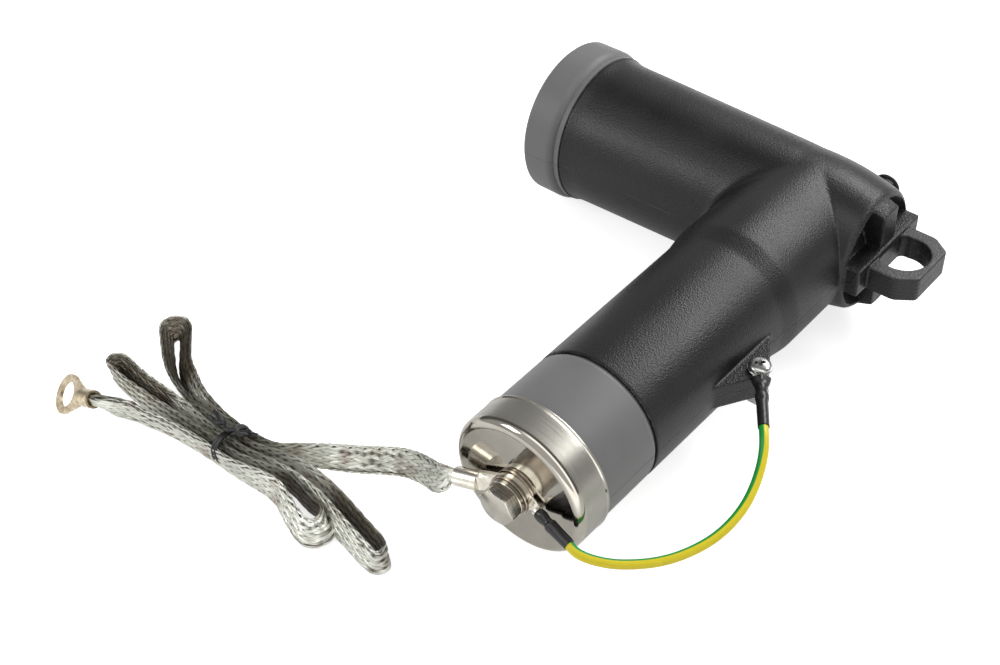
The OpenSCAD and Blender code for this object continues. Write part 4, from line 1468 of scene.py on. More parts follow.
@dataclass
class TestCap(Piece):
    """Rubber cap on the test boss: a skirt, a thin flange to pull it by, and a nub.

    Its profile is in millimetres about the test point's axis.
    """

    finish = Finish.JACKET
    slot = "black_rubber"
    nodes = ("test_cap",)

    at: float = 16
    profile: Profile = (
        (4.9, 37), (5.6, 37.05), (5.75, 37.3), (5.7, 45), (5.9, 45.8), (6.8, 46.3), (7.0, 46.6),
        (7.0, 47.1), (6.8, 47.4), (5.6, 47.6), (4.2, 48.0), (3.5, 48.8), (3.2, 50.4), (2.7, 50.9),
        (2.0, 51), (0, 51), (0, 45.1), (2.5, 45.1), (2.5, 42.1), (4.9, 42.1),
    )  # fmt: skip

    def shape(self) -> bpy.types.Object:
        """Turns the cap's profile about the test point's axis."""
        return lathe("test_point_cap", self.profile, from_corner(self.at) @ turned(-90, "X"), 64)


class Sleeve(Enum):
    """The two shrink sleeves, by the CAD node that each replaces."""

    AT_CAP = "shrink_cap"
    AT_TAB = "shrink_tab"


@dataclass
class ShrinkSleeve(Piece):
    """Sleeve shrunk over a lug's barrel and the wire's end: it shows what lies under it.

    Stations are the distance along the barrel, half the width and half the
    height, in millimetres. Shallow folds run round it and fade towards the wire.
    """

    finish = Finish.SHRINK
    slot = "shrink_plastic"

    which: Sleeve
    bore: float = 2.05
    sides: int = 40
    rings: int = 90
    folds: float = 0.07
    end_round: float = 0.25
    stations: dict[Sleeve, Route] = field(
        default_factory=lambda: {
            Sleeve.AT_CAP: (
                (1.5, 2.2, 2.1), (2.1, 2.75, 2.5), (4.2, 2.95, 2.6), (6.0, 2.55, 2.4),
                (7.4, 2.3, 2.2), (8.4, 2.4, 2.3), (9.3, 2.95, 2.85), (11, 2.85, 2.8),
                (15, 2.65, 2.65), (21.1, 2.6, 2.6),
            ),
            Sleeve.AT_TAB: (
                (-1.7, 4.4, 1.5), (-0.6, 4.5, 1.8), (1.8, 3.9, 2.2), (4, 3.0, 2.35),
                (5.8, 2.55, 2.4), (8.0, 2.6, 2.6), (9.4, 3.05, 3.0), (11.6, 3.0, 2.95),
                (13.2, 2.6, 2.6), (27.8, 2.5, 2.5),
            ),
        }
    )  # fmt: skip

    @property
    def nodes(self) -> tuple[str, ...]:
        """The CAD node that this sleeve replaces."""
        return (self.which.value,)

    def place(self) -> Matrix:
        """Finds the barrel of the sleeve's lug, as the part's source sets it.

        Returns:
            Puts local Z along the barrel, from millimetres.
        """
        if self.which is Sleeve.AT_CAP:
            lug = along_arrester_leg() @ turned(-9, "Z") @ Matrix.Translation((12.3, 0, 223.4))
            return lug @ turned(80.5, "Y")
        lug = from_corner() @ Matrix.Translation((42, -106.3, 8.4)) @ turned(-54, "Z")
        return lug @ Matrix.Translation((9, 0, 0)) @ turned(90, "Y")

    def shape(self) -> bpy.types.Object:
        """Makes the sleeve: folded rings outside and a plain bore.

        Returns:
            The sleeve, undressed.
        """
        given = np.array(self.stations[self.which])
        along = np.linspace(given[0, 0], given[-1, 0], self.rings)
        blur = np.array((1, 2, 3, 2, 1)) / 9
        sizes = []
        for k in (1, 2):
            padded = np.pad(np.interp(along, given[:, 0], given[:, k]), 2, "edge")
            sizes.append(np.convolve(padded, blur, "valid"))
            sizes[-1][0] -= self.end_round
        turn = np.linspace(0, 2 * np.pi, self.sides, endpoint=False)
        fade = np.clip((given[6, 0] + 3 - along) / 6, 0.12, 1)[:, None]
        s = along[:, None]
        waves = np.sin(2 * turn + 0.9 * s) * np.sin(0.7 * s + 3 * turn)
        fold = self.folds * fade * (waves + 0.6 * np.sin(4 * turn - 1.3 * s))
        high = (sizes[1][:, None] + fold) * np.cos(turn)
        wide = (sizes[0][:, None] + fold) * np.sin(turn)
        rings = np.stack([high, wide, np.repeat(s, self.sides, 1)], -1)
        inside = np.stack([self.bore * np.cos(turn), self.bore * np.sin(turn), 0 * turn], -1)
        near, far = inside + (0, 0, along[0]), inside + (0, 0, along[-1])
        rings = np.concatenate([rings, far[None], near[None]])
        place = self.place()
        points = [place @ Vector(p) for p in rings.reshape(-1, 3)]
        count, n = len(rings), self.sides
        faces = []
        for i in range(count):
            for k in range(n):
                low, high_row, m = i * n, (i + 1) % count * n, (k + 1) % n
                faces.append((low + k, low + m, high_row + m, high_row + k))
        return piece_from(f"{self.which.value}_sleeve", points, faces, 45)


# Cords


class Side(Enum):
    """The side of a loop's way out on which the ribbon goes out."""

    LEFT = 1
    RIGHT = -1


@dataclass
class EarthBraid:
    """Flat braid of tinned copper: lead, folded hank and tail, one ribbon.

    The ribbon stands on its edge, except where a station's lean turns its
    face up. Each pass through the tie has a lane of its own. The two lugs bunch
    it to a share of its width, over the lengths in squeezed_over. The strands
    are drawn wider and fewer than the real ones, so that they show.
    """

    width: float = 12 * MM
    thickness: float = 1.5 * MM
    lay: float = 116 * MM
    carriers: int = 30
    strand_width: float = 1.75 * MM
    strand_thickness: float = 0.6 * MM
    weave: float = 0.28 * MM
    step: float = 1.2 * MM
    squeezed_over: tuple[float, float] = (8 * MM, 24 * MM)
    squeezed_to: float = 0.36
    leg_gap: float = 2.4
    lane_pitch: float = 3.0
    lane_half: float = 9
    lane_splay: float = 0.15
    floor_gap: float = 0.75
    lean_lift: float = 1.3
    lean_onset: float = 2.5
    tip_share: float = 0.4
    bend_reach: float = 45 * MM
    full_bend: float = 2.4
    # No painted shade within the first distance of the tie, and full painted shade beyond the
    # second.
    unshaded_near_tie: tuple[float, float] = (24, 14)
    skin: float = 0.4
    lead: Route = (
        (12.1, -135.8, 35.8), (9.2, -136.9, 34.8), (6.3, -138, 32.4), (2.9, -137.7, 29.6),
        (-1.5, -136.2, 27), (-6, -134.8, 24.8), (-11.2, -133.6, 22.4), (-17, -132.9, 20),
        (-23, -133, 17.6), (-29, -133.9, 15), (-35, -135.3, 12.6), (-41, -137.3, 10.5),
        (-48, -140, 8.5), (-54.5, -143, 7.2), (-61, -146.5, 6.4), (-70, -151.6, 6),
        (-78.6, -156.6, 6),
    )  # fmt: skip
    lead_lean: Sequence[float] = (
        60, 50, 40, 36, 34, 34, 36, 38, 40, 42, 42, 42, 40, 34, 24, 12, 0,
    )  # fmt: skip
    lead_rise: Sequence[float] = (*(0,) * 12, 0.2, 0.6, 0.9, 0.9, 0.8)
    tail: Route = (
        (-161.1, -194, 18.5), (-158, -193.7, 19.7), (-155.2, -191, 17.6), (-153, -187, 13.2),
        (-149.5, -182.8, 9), (-142, -180, 6), (-132, -178, 6),
    )  # fmt: skip
    tall_loop: Route = (
        (-112, -165, 9), (-132, -158.6, 8.4), (-146, -154.2, 8.6), (-157, -149, 9.4),
        (-167, -141.4, 10.8), (-176.6, -133.4, 11.4),
    )  # fmt: skip
    left_loop: Route = (
        (-114, -167.5, 9), (-134, -169.6, 8.4), (-154, -170, 8.6), (-168, -169.2, 9),
        (-179.6, -167.4, 8.4),
    )  # fmt: skip
    short_loop: Route = ((-84, -167, 9), (-62, -170.4, 9.6), (-47, -174.3, 12), (-37, -176.3, 14))
    long_loop: Route = (
        (-84, -164, 9.6), (-64, -161.8, 9.6), (-44, -163.2, 10), (-18, -168.6, 10.4),
        (-1.6, -172.2, 9.4),
    )  # fmt: skip

    def leaned(self, x: float, y: float, lean: float) -> Leaned:
        """Raises a point of the ribbon from the table for its lean.

        Args:
            x: Its place in millimetres.
            y: Its place in millimetres.
            lean: The ribbon's lean in degrees.

        Returns:
            The point's x, y and z in millimetres and its lean.
        """
        half, turn = self.width / MM / 2, math.radians(lean)
        lift = self.lean_lift * abs(math.sin(turn))
        return x, y, half * math.cos(turn) + lift + self.floor_gap, lean

    def turn_back(
        self, stations: Route, side: Side, leans: tuple[float, float, float]
    ) -> list[Leaned]:
        """Goes out along one side of a loop, round its tip and back.

        Args:
            stations: The loop's middle line and width, in millimetres.
            side: The side to go out on.
            leans: The ribbon's lean in degrees on the way out, at the tip and
                on the way back.

        Returns:
            Points with x, y, z in millimetres and the lean in degrees.
        """
        out, back = [], []
        for i, (x, y, w) in enumerate(stations[1:], 1):
            before, after = stations[i - 1], stations[min(i + 1, len(stations) - 1)]
            dx, dy = after[0] - before[0], after[1] - before[1]
            size = math.hypot(dx, dy)
            nx, ny = -dy / size * side.value, dx / size * side.value
            half = (w - self.leg_gap) / 2
            share = i / (len(stations) - 1)
            eased_in = min(1.0, self.lean_onset * share)
            going, coming = (
                lean * eased_in + self.tip_share * (leans[1] - lean) * share**3
                for lean in leans[::2]
            )
            out.append(self.leaned(x + nx * half, y + ny * half, going))
            back.append(self.leaned(x - nx * half, y - ny * half, coming))
        tip = []
        for a in (math.pi / 4, math.pi / 2, 3 * math.pi / 4):
            tip_x = x + half * (nx * math.cos(a) + dx / size * math.sin(a))
            tip_y = y + half * (ny * math.cos(a) + dy / size * math.sin(a))
            tip.append(self.leaned(tip_x, tip_y, leans[1]))
        return out + tip + back[::-1]

    def lane(self, number: int, leftwards: bool) -> list[Leaned]:
        """Passes through the tie in a lane of its own.

        Args:
            number: The lane counted from the back, -2 to 2.
            leftwards: Whether the ribbon runs to the left in it.

        Returns:
            The lane's two ends, as turn_back gives its points.
        """
        x, y = TIE_AT
        y -= number * self.lane_pitch
        reach = self.lane_half if leftwards else -self.lane_half
        splay = self.lane_splay * number
        return [self.leaned(x + e, y - splay * abs(e), 0) for e in (reach, -reach)]

    def line(self) -> np.ndarray:
        """Lays the ribbon's middle line with its lean.

        Returns:
            Rows of x, y, z in metres and the lean in radians.
        """
        given = zip(self.lead, self.lead_lean, self.lead_rise)
        points = [(x, y, z + up, lean) for (x, y, z), lean, up in given]
        loops = (
            (self.tall_loop, Side.RIGHT, (36, 36, 20)),
            (self.long_loop, Side.LEFT, (-18, 12, 24)),
            (self.left_loop, Side.RIGHT, (28, 22, -8)),
            (self.short_loop, Side.LEFT, (-8, 42, 26)),
        )
        for number, loop in enumerate(loops, -2):
            points += self.lane(number, number % 2 == 0)
            points += self.turn_back(*loop)
        points += self.lane(2, True)
        on_table = self.width / MM / 2 + 1
        points += [
            (x, y, z + self.floor_gap * (z < on_table), 0) for x, y, z in self.tail[::-1]
        ]
        rows = np.array(points, float)
        rows[:, :3] *= MM
        rows[:, 3] = np.radians(rows[:, 3])
        return smooth_route(rows, self.step)

    def squeeze(self, count: int, number: int) -> float:
        """Tells how much of its width the ribbon keeps: it is bunched into both lugs.

        Args:
            count: The points of the ribbon's line.
            number: The point asked for.

        Returns:
            The share of the full width.
        """
        near, far = self.squeezed_over
        share = min(1.0, number * self.step / near, (count - 1 - number) * self.step / far)
        return self.squeezed_to + (1 - self.squeezed_to) * share * share * (3 - 2 * share)

    def painted_fold_shade(self, made: bpy.types.Object, rows: np.ndarray) -> None:
        """Stores painted shade for each point: the hollow side of a loop is painted brown.

        Args:
            made: The braid, whose UV map holds the distance along it.
            rows: The middle line with its lean.
        """
        mesh = made.data
        ahead = directions(rows)
        left = np.cross([0, 0, 1], ahead)
        left /= np.linalg.norm(left, axis=1)[:, None]
        up = np.cross(ahead, left)
        face = np.cos(rows[:, 3])[:, None] * left + np.sin(rows[:, 3])[:, None] * up
        heading = np.unwrap(np.arctan2(ahead[:, 1], ahead[:, 0]))
        reach, number = int(self.bend_reach / self.step), np.arange(len(rows))
        after = heading[np.minimum(number + reach, len(rows) - 1)]
        bend = after - heading[np.maximum(number - reach, 0)]
        hollow = np.clip(bend / self.full_bend, -1, 1)
        x, y = rows[:, 0] / MM - TIE_AT[0], rows[:, 1] / MM - TIE_AT[1]
        unshaded_reach, fading = self.unshaded_near_tie
        hollow *= np.clip((np.hypot(x, y) - unshaded_reach) / fading, 0, 1)
        laid = np.empty(len(mesh.loops) * 2)
        mesh.uv_layers["UVMap"].data.foreach_get("uv", laid)
        corner = np.empty(len(mesh.loops), int)
        mesh.loops.foreach_get("vertex_index", corner)
        run = np.zeros(len(mesh.vertices))
        run[corner] = laid[::2]
        places = np.empty(len(mesh.vertices) * 3)
        mesh.vertices.foreach_get("co", places)
        row = np.clip(np.round(run / self.step).astype(int), 0, len(rows) - 1)
        side = ((places.reshape(-1, 3) - rows[row, :3]) * face[row]).sum(1)
        # Painted shade: the hollow side of each loop is darkened, fading out near the tie.
        dull = np.clip(side / (self.skin * self.thickness), -1, 1) * hollow[row]
        layer = mesh.attributes.new("painted_fold_shade", "FLOAT", "POINT")
        layer.data.foreach_set("value", np.clip(dull, 0, 1).astype(np.float32))

    def tree(self) -> bpy.types.GeometryNodeTree:
        """Winds flat strands round a line, over and under each other, about a dark bar that is
        painted shade between them.

        Returns:
            A tree whose inputs are the line, the braid's sizes and its materials.
        """
        tree = bpy.data.node_groups.new("wound_strands", "GeometryNodeTree")
        sizes = ("Width", "Thickness", "Lay", "Strand Width", "Strand Thickness", "Weave")
        kinds = {"Line": "Geometry", **dict.fromkeys(sizes, "Float"), "Carriers": "Int"}
        kinds |= {"Strand": "Material", "Inside": "Material"}
        for name, kind in kinds.items():
            tree.interface.new_socket(name, in_out="INPUT", socket_type=f"NodeSocket{kind}")
        tree.interface.new_socket("Braid", in_out="OUTPUT", socket_type="NodeSocketGeometry")
        node = partial(add_node, tree)
        given = node("NodeGroupInput", out=None).outputs
        upright = node("GeometryNodeSetCurveNormal", {0: given["Line"]}, mode="Z_UP")
        copies = node(
            "GeometryNodeDuplicateElements",
            {"Geometry": upright, "Amount": given["Carriers"]},
            None,
            domain="SPLINE",
        )
        # Each row gives a value its name and makes it from numbers and named values.
        value = {name: given[name] for name in (*sizes, "Carriers")}
        value["index"] = copies.outputs["Duplicate Index"]
        value["run"] = node("GeometryNodeSplineParameter", out="Length")
        value["spread"] = node("GeometryNodeInputRadius")
        full_turn = 2 * math.pi
        for name, operation, *terms in (
            ("half", "DIVIDE", "Carriers", 2.0),
            ("last of half", "SUBTRACT", "half", 0.5),
            ("first half", "LESS_THAN", "index", "last of half"),
            ("hand", "MULTIPLY_ADD", "first half", 2.0, -1.0),
            ("in half", "MODULO", "index", "half"),
            ("share", "DIVIDE", "in half", "half"),
            ("start", "MULTIPLY", "share", full_turn),
            ("lays", "DIVIDE", "run", "Lay"),
            ("wound", "MULTIPLY", "lays", full_turn),
            ("turn", "MULTIPLY_ADD", "wound", "hand", "start"),
            ("sine", "SINE", "turn"),
            ("sine short of one", "MULTIPLY", "sine", 0.9995),
            ("zigzag", "ARCSINE", "sine short of one"),
            ("width of turn", "DIVIDE", "Width", math.pi),
            ("reach", "MULTIPLY", "width of turn", "spread"),
            ("across", "MULTIPLY", "zigzag", "reach"),
            ("cosine", "COSINE", "turn"),
            ("crossings", "MULTIPLY", "turn", "half"),
            ("phase", "MULTIPLY_ADD", "crossings", 0.5, -math.pi / 4),
            ("wave", "COSINE", "phase"),
            ("over", "MULTIPLY", "wave", "hand"),
            ("lift", "MULTIPLY", "over", "Weave"),
            ("fuller", "MULTIPLY_ADD", "spread", -1.2, 1.7),
            ("bunched", "MULTIPLY", "Thickness", "fuller"),
            ("raised", "ADD", "bunched", "lift"),
            ("face side", "RANGE", "cosine"),
            ("deep", "MULTIPLY", "raised", "face side"),
            ("flatness", "ABSOLUTE", "face side"),
            ("steepness", "SUBTRACT", 1.0, "flatness"),
            ("shown", "MULTIPLY_ADD", "over", "flatness", "steepness"),
            ("half thick", "MULTIPLY", "Strand Thickness", 0.5),
            ("half wide", "MULTIPLY", "Strand Width", 0.5),
            ("bar thick", "MULTIPLY", "Thickness", 0.7),
            ("bar wide", "MULTIPLY", "Width", 0.94),
        ):
            taken = [value[term] if isinstance(term, str) else term for term in terms]
            if operation == "RANGE":
                limits = (*taken, -0.5, 0.5, -1.0, 1.0)
                value[name] = node(RANGE, limits, interpolation_type="SMOOTHSTEP")
            else:
                value[name] = node(MATHS, taken, operation=operation)
        normal = node("GeometryNodeInputNormal")
        vector = "ShaderNodeVectorMath"
        tangent = node("GeometryNodeInputTangent")
        sideways = node(vector, (tangent, normal), operation="CROSS_PRODUCT")
        first = node(vector, {0: sideways, "Scale": value["across"]}, operation="SCALE")
        second = node(vector, {0: normal, "Scale": value["deep"]}, operation="SCALE")
        offset = node(vector, (first, second), operation="ADD")
        section = node(
            "GeometryNodeCurvePrimitiveCircle", {"Resolution": 4, "Radius": 1.0}, mode="RADIUS"
        )
        height = node(AXES, (node("GeometryNodeInputPosition"),), "Y")
        marks = {"Run": value["run"], "Number": value["index"], "Over": value["shown"]}
        captures = []
        for shape, items in ((copies.outputs["Geometry"], marks), (section, {"Across": height})):
            capture = node("GeometryNodeCaptureAttribute", out=None, domain="POINT")
            for name in items:
                capture.capture_items.new("FLOAT", name)
            for name, source in {"Geometry": shape, **items}.items():
                tree.links.new(source, capture.inputs[name])
            captures.append(capture.outputs)
        kept, marked = captures
        moved = node("GeometryNodeSetPosition", {"Geometry": kept["Geometry"], "Offset": offset})
        size = node("ShaderNodeCombineXYZ", (value["half thick"], value["half wide"], 1.0))
        flat = node("GeometryNodeTransform", {"Geometry": marked["Geometry"], "Scale": size})
        swept = "GeometryNodeCurveToMesh"
        strands = node(swept, {"Curve": moved, "Profile Curve": flat, "Fill Caps": True})
        lane = node(MATHS, (marked["Across"], 0.48, kept["Number"]), operation="MULTIPLY_ADD")
        laid = node("ShaderNodeCombineXYZ", (kept["Run"], lane))
        for data_type, domain, name, source in (
            ("FLOAT2", "CORNER", "UVMap", laid),
            ("FLOAT", "POINT", "over", kept["Over"]),
        ):
            strands = node(
                "GeometryNodeStoreNamedAttribute",
                {"Geometry": strands, "Name": name, "Value": source},
                data_type=data_type,
                domain=domain,
            )
        # A dark bar inside the strands: painted shade between them.
        bar = node(
            "GeometryNodeCurvePrimitiveQuadrilateral",
            {"Width": value["bar thick"], "Height": value["bar wide"]},
        )
        fill = {"Curve": upright, "Profile Curve": bar, "Scale": value["spread"]}
        ribbon = node(swept, {**fill, "Fill Caps": True})
        both = node("GeometryNodeJoinGeometry", out=None)
        for shape, material in ((strands, given["Strand"]), (ribbon, given["Inside"])):
            dressed = node("GeometryNodeSetMaterial", {0: shape, "Material": material})
            tree.links.new(dressed, both.inputs[0])
        real = node("GeometryNodeRealizeInstances", (both.outputs[0],))
        node("NodeGroupOutput", (real,), None)
        return tree

    def build(self, lug: bpy.types.Object) -> bpy.types.Object:
        """Args:
            lug: Not used.

        Returns:
            The braid.
        """
        rows = self.line()
        curve = bpy.data.curves.new("earth_braid", "CURVE")
        curve.dimensions = "3D"
        curve.twist_mode = "Z_UP"
        spline = curve.splines.new("POLY")
        spline.points.add(len(rows) - 1)
        for number, (point, (x, y, z, lean)) in enumerate(zip(spline.points, rows)):
            point.co = (x, y, z, 1)
            point.tilt = lean
            point.radius = self.squeeze(len(rows), number)
        made = linked("earth_braid", curve)
        tree = self.tree()
        modifier = made.modifiers.new("wound_strands", "NODES")
        modifier.node_group = tree
        values = {
            "Width": self.width - self.strand_thickness,
            "Thickness": self.thickness,
            "Lay": self.lay,
            "Strand Width": self.strand_width,
            "Strand Thickness": self.strand_thickness,
            "Weave": self.weave,
            "Carriers": self.carriers,
            "Strand": Finish.STRAND.material(),
            "Inside": Finish.BRAID_SHADE.material(),
        }
        for item in tree.interface.items_tree:
            if item.in_out == "INPUT" and item.name in values:
                modifier[item.identifier] = values[item.name]
        made = baked(made)
        shade(made.data, 75)
        self.painted_fold_shade(made, rows)
        seat(made, "tinned_braid", "braid_lead", "braid_hank", "braid_tail")
        return made


@dataclass
class TieWire(Piece):
    """Coated wire wound twice round the hank, with its ends twisted together on top.

    Its sizes are in millimetres. The first wire comes in along start, goes
    round the hank and leaves along stop; the second is the other half of the
    knot. The three routes count their heights from the hank's top.
    """

    finish = Finish.TIE
    slot = "tie_plastic"
    nodes = ("hank_tie",)

    radius: float = 1.15
    half_w: float = 9.3
    half_h: float = 6.9
    pitch: float = 3.8
    steps: int = 40
    squareness: float = 0.7
    spacing: float = 0.7 * MM
    sides: int = 12
    start: Route = ((-14.5, 4.6, -0.4), (-11, 3.4, 0.6), (-7, 1.6, 0.2), (-3.6, 0.6, -0.1))
    stop: Route = ((3.6, 0.8, 0), (6.5, 2.6, 0.6), (9.6, 3.6, 1.2), (13.4, 5.6, 0.8))
    second: Route = (
        (-13.6, 0.4, 0.4), (-10.4, 0.2, -0.2), (-7, -0.6, 1.2), (-3.4, 1.6, 1.6), (0, -0.9, 1.4),
        (3.2, 1.4, 1.5), (6.2, 1.2, -0.3), (8.6, 4.6, 1.4), (11.4, 3.4, 2.0),
    )  # fmt: skip

    def wrap(self) -> list[tuple[float, float, float]]:
        """Winds the two turns, from the knot on top and back to it.

        Returns:
            Points about the tie's middle on the table.
        """
        middle = self.half_h + self.radius + 0.05
        points = []
        for i in range(self.steps + 1):
            turn = math.pi / 2 + 4 * math.pi * i / self.steps
            c, s = math.cos(turn), math.sin(turn)
            y = self.half_w * math.copysign(abs(c) ** self.squareness, c)
            z = middle + self.half_h * math.copysign(abs(s) ** self.squareness, s)
            x = self.pitch * (i / self.steps - 0.5) + 0.5 * math.sin(1.3 * turn)
            points.append((x, y, z + 0.5 * (s > 0.9)))
        return points

    def shape(self) -> bpy.types.Object:
        """Makes the tie from its two wires.

        Returns:
            The tie, undressed.
        """
        top = 2 * self.half_h + 2.6 * self.radius
        start, stop, second = (
            [(x, y, top + up) for x, y, up in route]
            for route in (self.start, self.stop, self.second)
        )
        wires = []
        for number, points in enumerate((start + self.wrap() + stop, second)):
            line = smooth_route((np.array(points) + (*TIE_AT, 0)) * MM, self.spacing)
            wires.append(tube(f"tie_wire_{number}", line, self.radius * MM, self.sides))
        made = joined(*wires)
        made.name = "twisted_tie_wire"
        return made


@dataclass
class DrainWire(Piece):
    """Covered wire from the bolt to the tab, bent in one bow; its route is in millimetres."""

    finish = Finish.WIRE
    slot = "wire_cover"
    nodes = ("drain_wire",)

    diameter: float = 4.2 * MM
    spacing: float = 1.2 * MM
    sides: int = 24
    route: Route = (
        (72.8, -135.4, 35.8), (76.7, -136.1, 35.2), (81, -135.4, 34.6), (86, -133.3, 33.9),
        (91, -130.2, 33.2), (95.4, -126.5, 32.7), (99.5, -122.5, 32.4), (103.4, -118.2, 32.4),
        (106.8, -113.5, 32.5), (109.8, -108.2, 32.7), (112.4, -102.4, 33.1), (114.6, -96, 33.8),
        (116, -89, 34.8), (116.5, -82, 36), (116.2, -75, 37.5), (115.1, -68.3, 39.4),
        (113.4, -62, 41.8), (111.3, -56.4, 44.4), (109, -51.9, 47), (106.5, -48.3, 49),
        (103.7, -44.5, 49.4),
    )  # fmt: skip

    def line(self) -> np.ndarray:
        """Runs a smooth line through the route."""
        return smooth_route(np.array(self.route) * MM, self.spacing)

    def shape(self) -> bpy.types.Object:
        """Sweeps the wire's cover along its line."""
        return tube("drain_wire_cover", self.line(), self.diameter / 2, self.sides)

    def build(self) -> bpy.types.Object:
        """Returns:
            The wire.
        """
        made = super().build()
        line = self.line()
        return made


# Studio


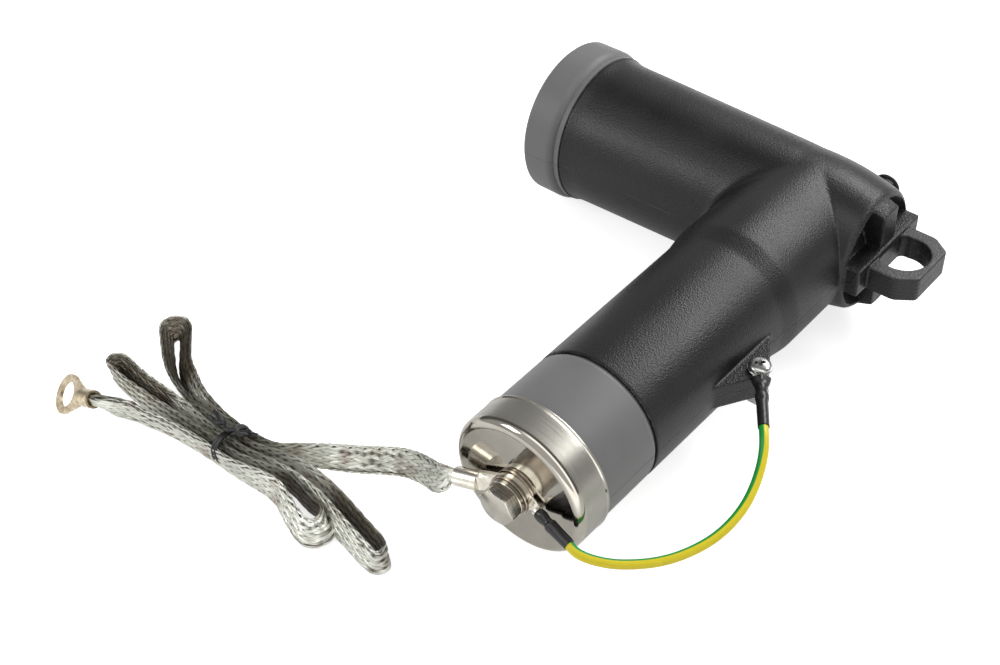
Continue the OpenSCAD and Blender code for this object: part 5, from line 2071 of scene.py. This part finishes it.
@dataclass
class Studio:
    """Camera, table, lamps and sky; lens and sensor are in millimetres, all else in metres."""

    place: tuple[float, float, float] = (0.32637, -0.446034, 0.525868)
    right: tuple[float, float, float] = (0.76009, 0.64864, -0.03873)
    up: tuple[float, float, float] = (-0.42056, 0.53651, 0.73161)
    forward: tuple[float, float, float] = (-0.49535, 0.53982, -0.68060)
    lens: float = 56.375
    sensor: float = 36.0
    aim: tuple[float, float, float] = (0.0, -0.03, 0.03)
    floor_half: float = 3.0

    def camera(self) -> None:
        """Sets the camera at the photograph's angle."""
        data = bpy.data.cameras.new("camera")
        data.lens, data.sensor_width, data.sensor_fit = self.lens, self.sensor, "HORIZONTAL"
        data.clip_start, data.clip_end = 0.01, 50.0
        made = linked("camera", data)
        axes = Matrix((self.right, self.up, [-c for c in self.forward])).transposed()
        made.matrix_world = Matrix.Translation(self.place) @ axes.to_4x4()
        bpy.context.scene.camera = made

    def table(self) -> None:
        """Lays a pale floor: plain white to the camera; to mirrors it glows brighter in front of
        the bolt and to its right, a painted reflection.
        """
        h = self.floor_half
        made = piece_from("floor", [(-h, -h, 0), (h, -h, 0), (h, h, 0), (-h, h, 0)], [(0, 1, 2, 3)])
        s = Shader("pale_floor")
        path = s.node("ShaderNodeLightPath", out=None).outputs
        x, y, _ = s.node(AXES, (s.place,), None).outputs
        direct = s.node(
            MATHS, (path["Is Camera Ray"], path["Is Transmission Ray"]), operation="MAXIMUM"
        )
        # Painted reflection: the floor glows to mirrors, most in front of the bolt and to its
        # right.
        to_right = s.node(RANGE, (x, 0.07, 0.13, 0, 1.3))
        in_front = s.node(RANGE, (y, -0.22, -0.16, 1, 0))
        near = s.node(MATHS, (to_right, in_front), operation="MULTIPLY")
        fading = s.node(RANGE, (y, -0.27, -0.12, 0.64, 0.22))
        lit = s.node(MATHS, (near, fading), operation="ADD")
        mirrored = s.node(MATHS, (path["Is Glossy Ray"], lit), operation="MULTIPLY")
        glow = s.node(MATHS, (direct, 0.72, mirrored), operation="MULTIPLY_ADD")
        material = s.finished(
            Base_Color="f2f2f2",
            Roughness=0.9,
            Specular_IOR_Level=0.1,
            Emission_Color="ffffff",
            Emission_Strength=glow,
        )
        dress(made, material)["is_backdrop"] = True

    def sky(self, strength: float = 0.5) -> None:
        """Gives an even grey sky, white to the camera.

        Mirrors see a bright screen in front of the bolt with a tube lamp along
        its edge, a dark gap above and a grey wall behind.

        Args:
            strength: The level at which the sky lights the object.
        """
        world = bpy.data.worlds.new("sky")
        bpy.context.scene.world = world
        world.use_nodes = True
        tree = world.node_tree
        node = partial(add_node, tree)
        path = node("ShaderNodeLightPath", out=None).outputs
        x, y, _ = node(AXES, (node("ShaderNodeTexCoord", out="Generated"),), None).outputs
        products = []
        for factors in (
            ((y, -0.3, -0.02, 0.85, 0.2), (x, -0.6, -0.3, 0.75, 1.0)),
            ((y, -0.5, -0.4, 0.0, 1.9), (y, -0.14, -0.08, 1.0, 0.0), (x, -0.4, -0.15, 0.0, 1.0)),
            ((y, 0.22, 0.5, 0.0, 0.34),),
        ):
            level = node(RANGE, factors[0])
            for factor in factors[1:]:
                level = node(MATHS, (level, node(RANGE, factor)), operation="MULTIPLY")
            products.append(level)
        screen, tube_lamp, wall = products
        walls = node(MATHS, (screen, wall), operation="ADD")
        seen = node(MATHS, (walls, tube_lamp), operation="ADD")
        mirrored = node(MATHS, (path["Is Glossy Ray"], seen), operation="MULTIPLY")
        direct = node(MATHS, (path["Is Camera Ray"], strength), operation="MAXIMUM")
        others = node(MATHS, (1.0, path["Is Glossy Ray"]), operation="SUBTRACT")
        level = node(MATHS, (others, direct, mirrored), operation="MULTIPLY_ADD")
        background = tree.nodes["Background"].inputs
        background["Color"].default_value = linear("ffffff")
        tree.links.new(level, background["Strength"])

    def lamp(
        self, name: str, place: tuple[float, float, float], size: tuple[float, float], watts: float
    ) -> None:
        """Hangs a soft rectangular lamp that faces the object.

        Args:
            name: The lamp's name.
            place: Where it hangs.
            size: Its width and height.
            watts: Its power.
        """
        data = bpy.data.lights.new(name, "AREA")
        data.shape, data.energy = "RECTANGLE", watts
        data.size, data.size_y = size
        made = linked(name, data)
        made.location = place
        made.rotation_euler = (Vector(self.aim) - Vector(place)).to_track_quat("-Z", "Y").to_euler()

    def build(self) -> None:
        """Makes floor, sky and lamps, and keeps colours as they are written."""
        bpy.context.scene.view_settings.view_transform = "Standard"
        self.table()
        self.sky()
        self.lamp("key", (0.26, 0.8, 0.8), (1.15, 0.34), 9.5)
        self.lamp("fill", (-0.7, -0.9, 0.8), (0.5, 0.5), 4.5)


# Main


# The CAD nodes that are shown as they are, with their finishes.
CARRIED: dict[str, Finish] = {
    "insulating_body": Finish.BODY,
    "inner_shield": Finish.SHIELD,
    "eye_insert": Finish.ZINC,
    "top_connector": Finish.ALUMINIUM,
    "contact_probe": Finish.SILVER,
    "arc_follower": Finish.FOLLOWER,
    "contact_spring": Finish.SPRING,
    "top_electrode": Finish.ALUMINIUM,
    **{f"varistor_{number}": Finish.DISC for number in range(1, 7)},
    "contact_plate": Finish.ALUMINIUM,
    "stack_spring": Finish.SPRING,
    "bottom_electrode": Finish.ALUMINIUM,
    "glass_wrap": Finish.GLASS,
    "test_stud": Finish.SILVER,
}


def corners(box: tuple[Vector, Vector]) -> list[list[float]]:
    """Gives a box's corners as plain numbers."""
    return [[round(c, 6) for c in corner] for corner in box]


def main() -> None:
    """Loads the frame and builds every sub-assembly in order."""
    logging.basicConfig(level=logging.INFO, format="%(name)s %(message)s")
    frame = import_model()
    cad_box = corners(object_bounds())
    studio = Studio()
    studio.camera()
    nodes = frame["nodes"]
    for name, finish in CARRIED.items():
        dress(nodes[name], finish.material())
    Jacket().build()
    EndCap().build()
    hardware = Hardware().build(nodes)
    PanScrew().build()
    TestCap().build()
    for which in Sleeve:
        ShrinkSleeve(which).build()
    EarthBraid().build(hardware["braid_lug_far"])
    TieWire().build()
    DrainWire().build()
    studio.build()
    seen_box = corners(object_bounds())
    LOG.info("cad box %s, visual box %s", cad_box, seen_box)


if __name__ == "__main__":
    main()
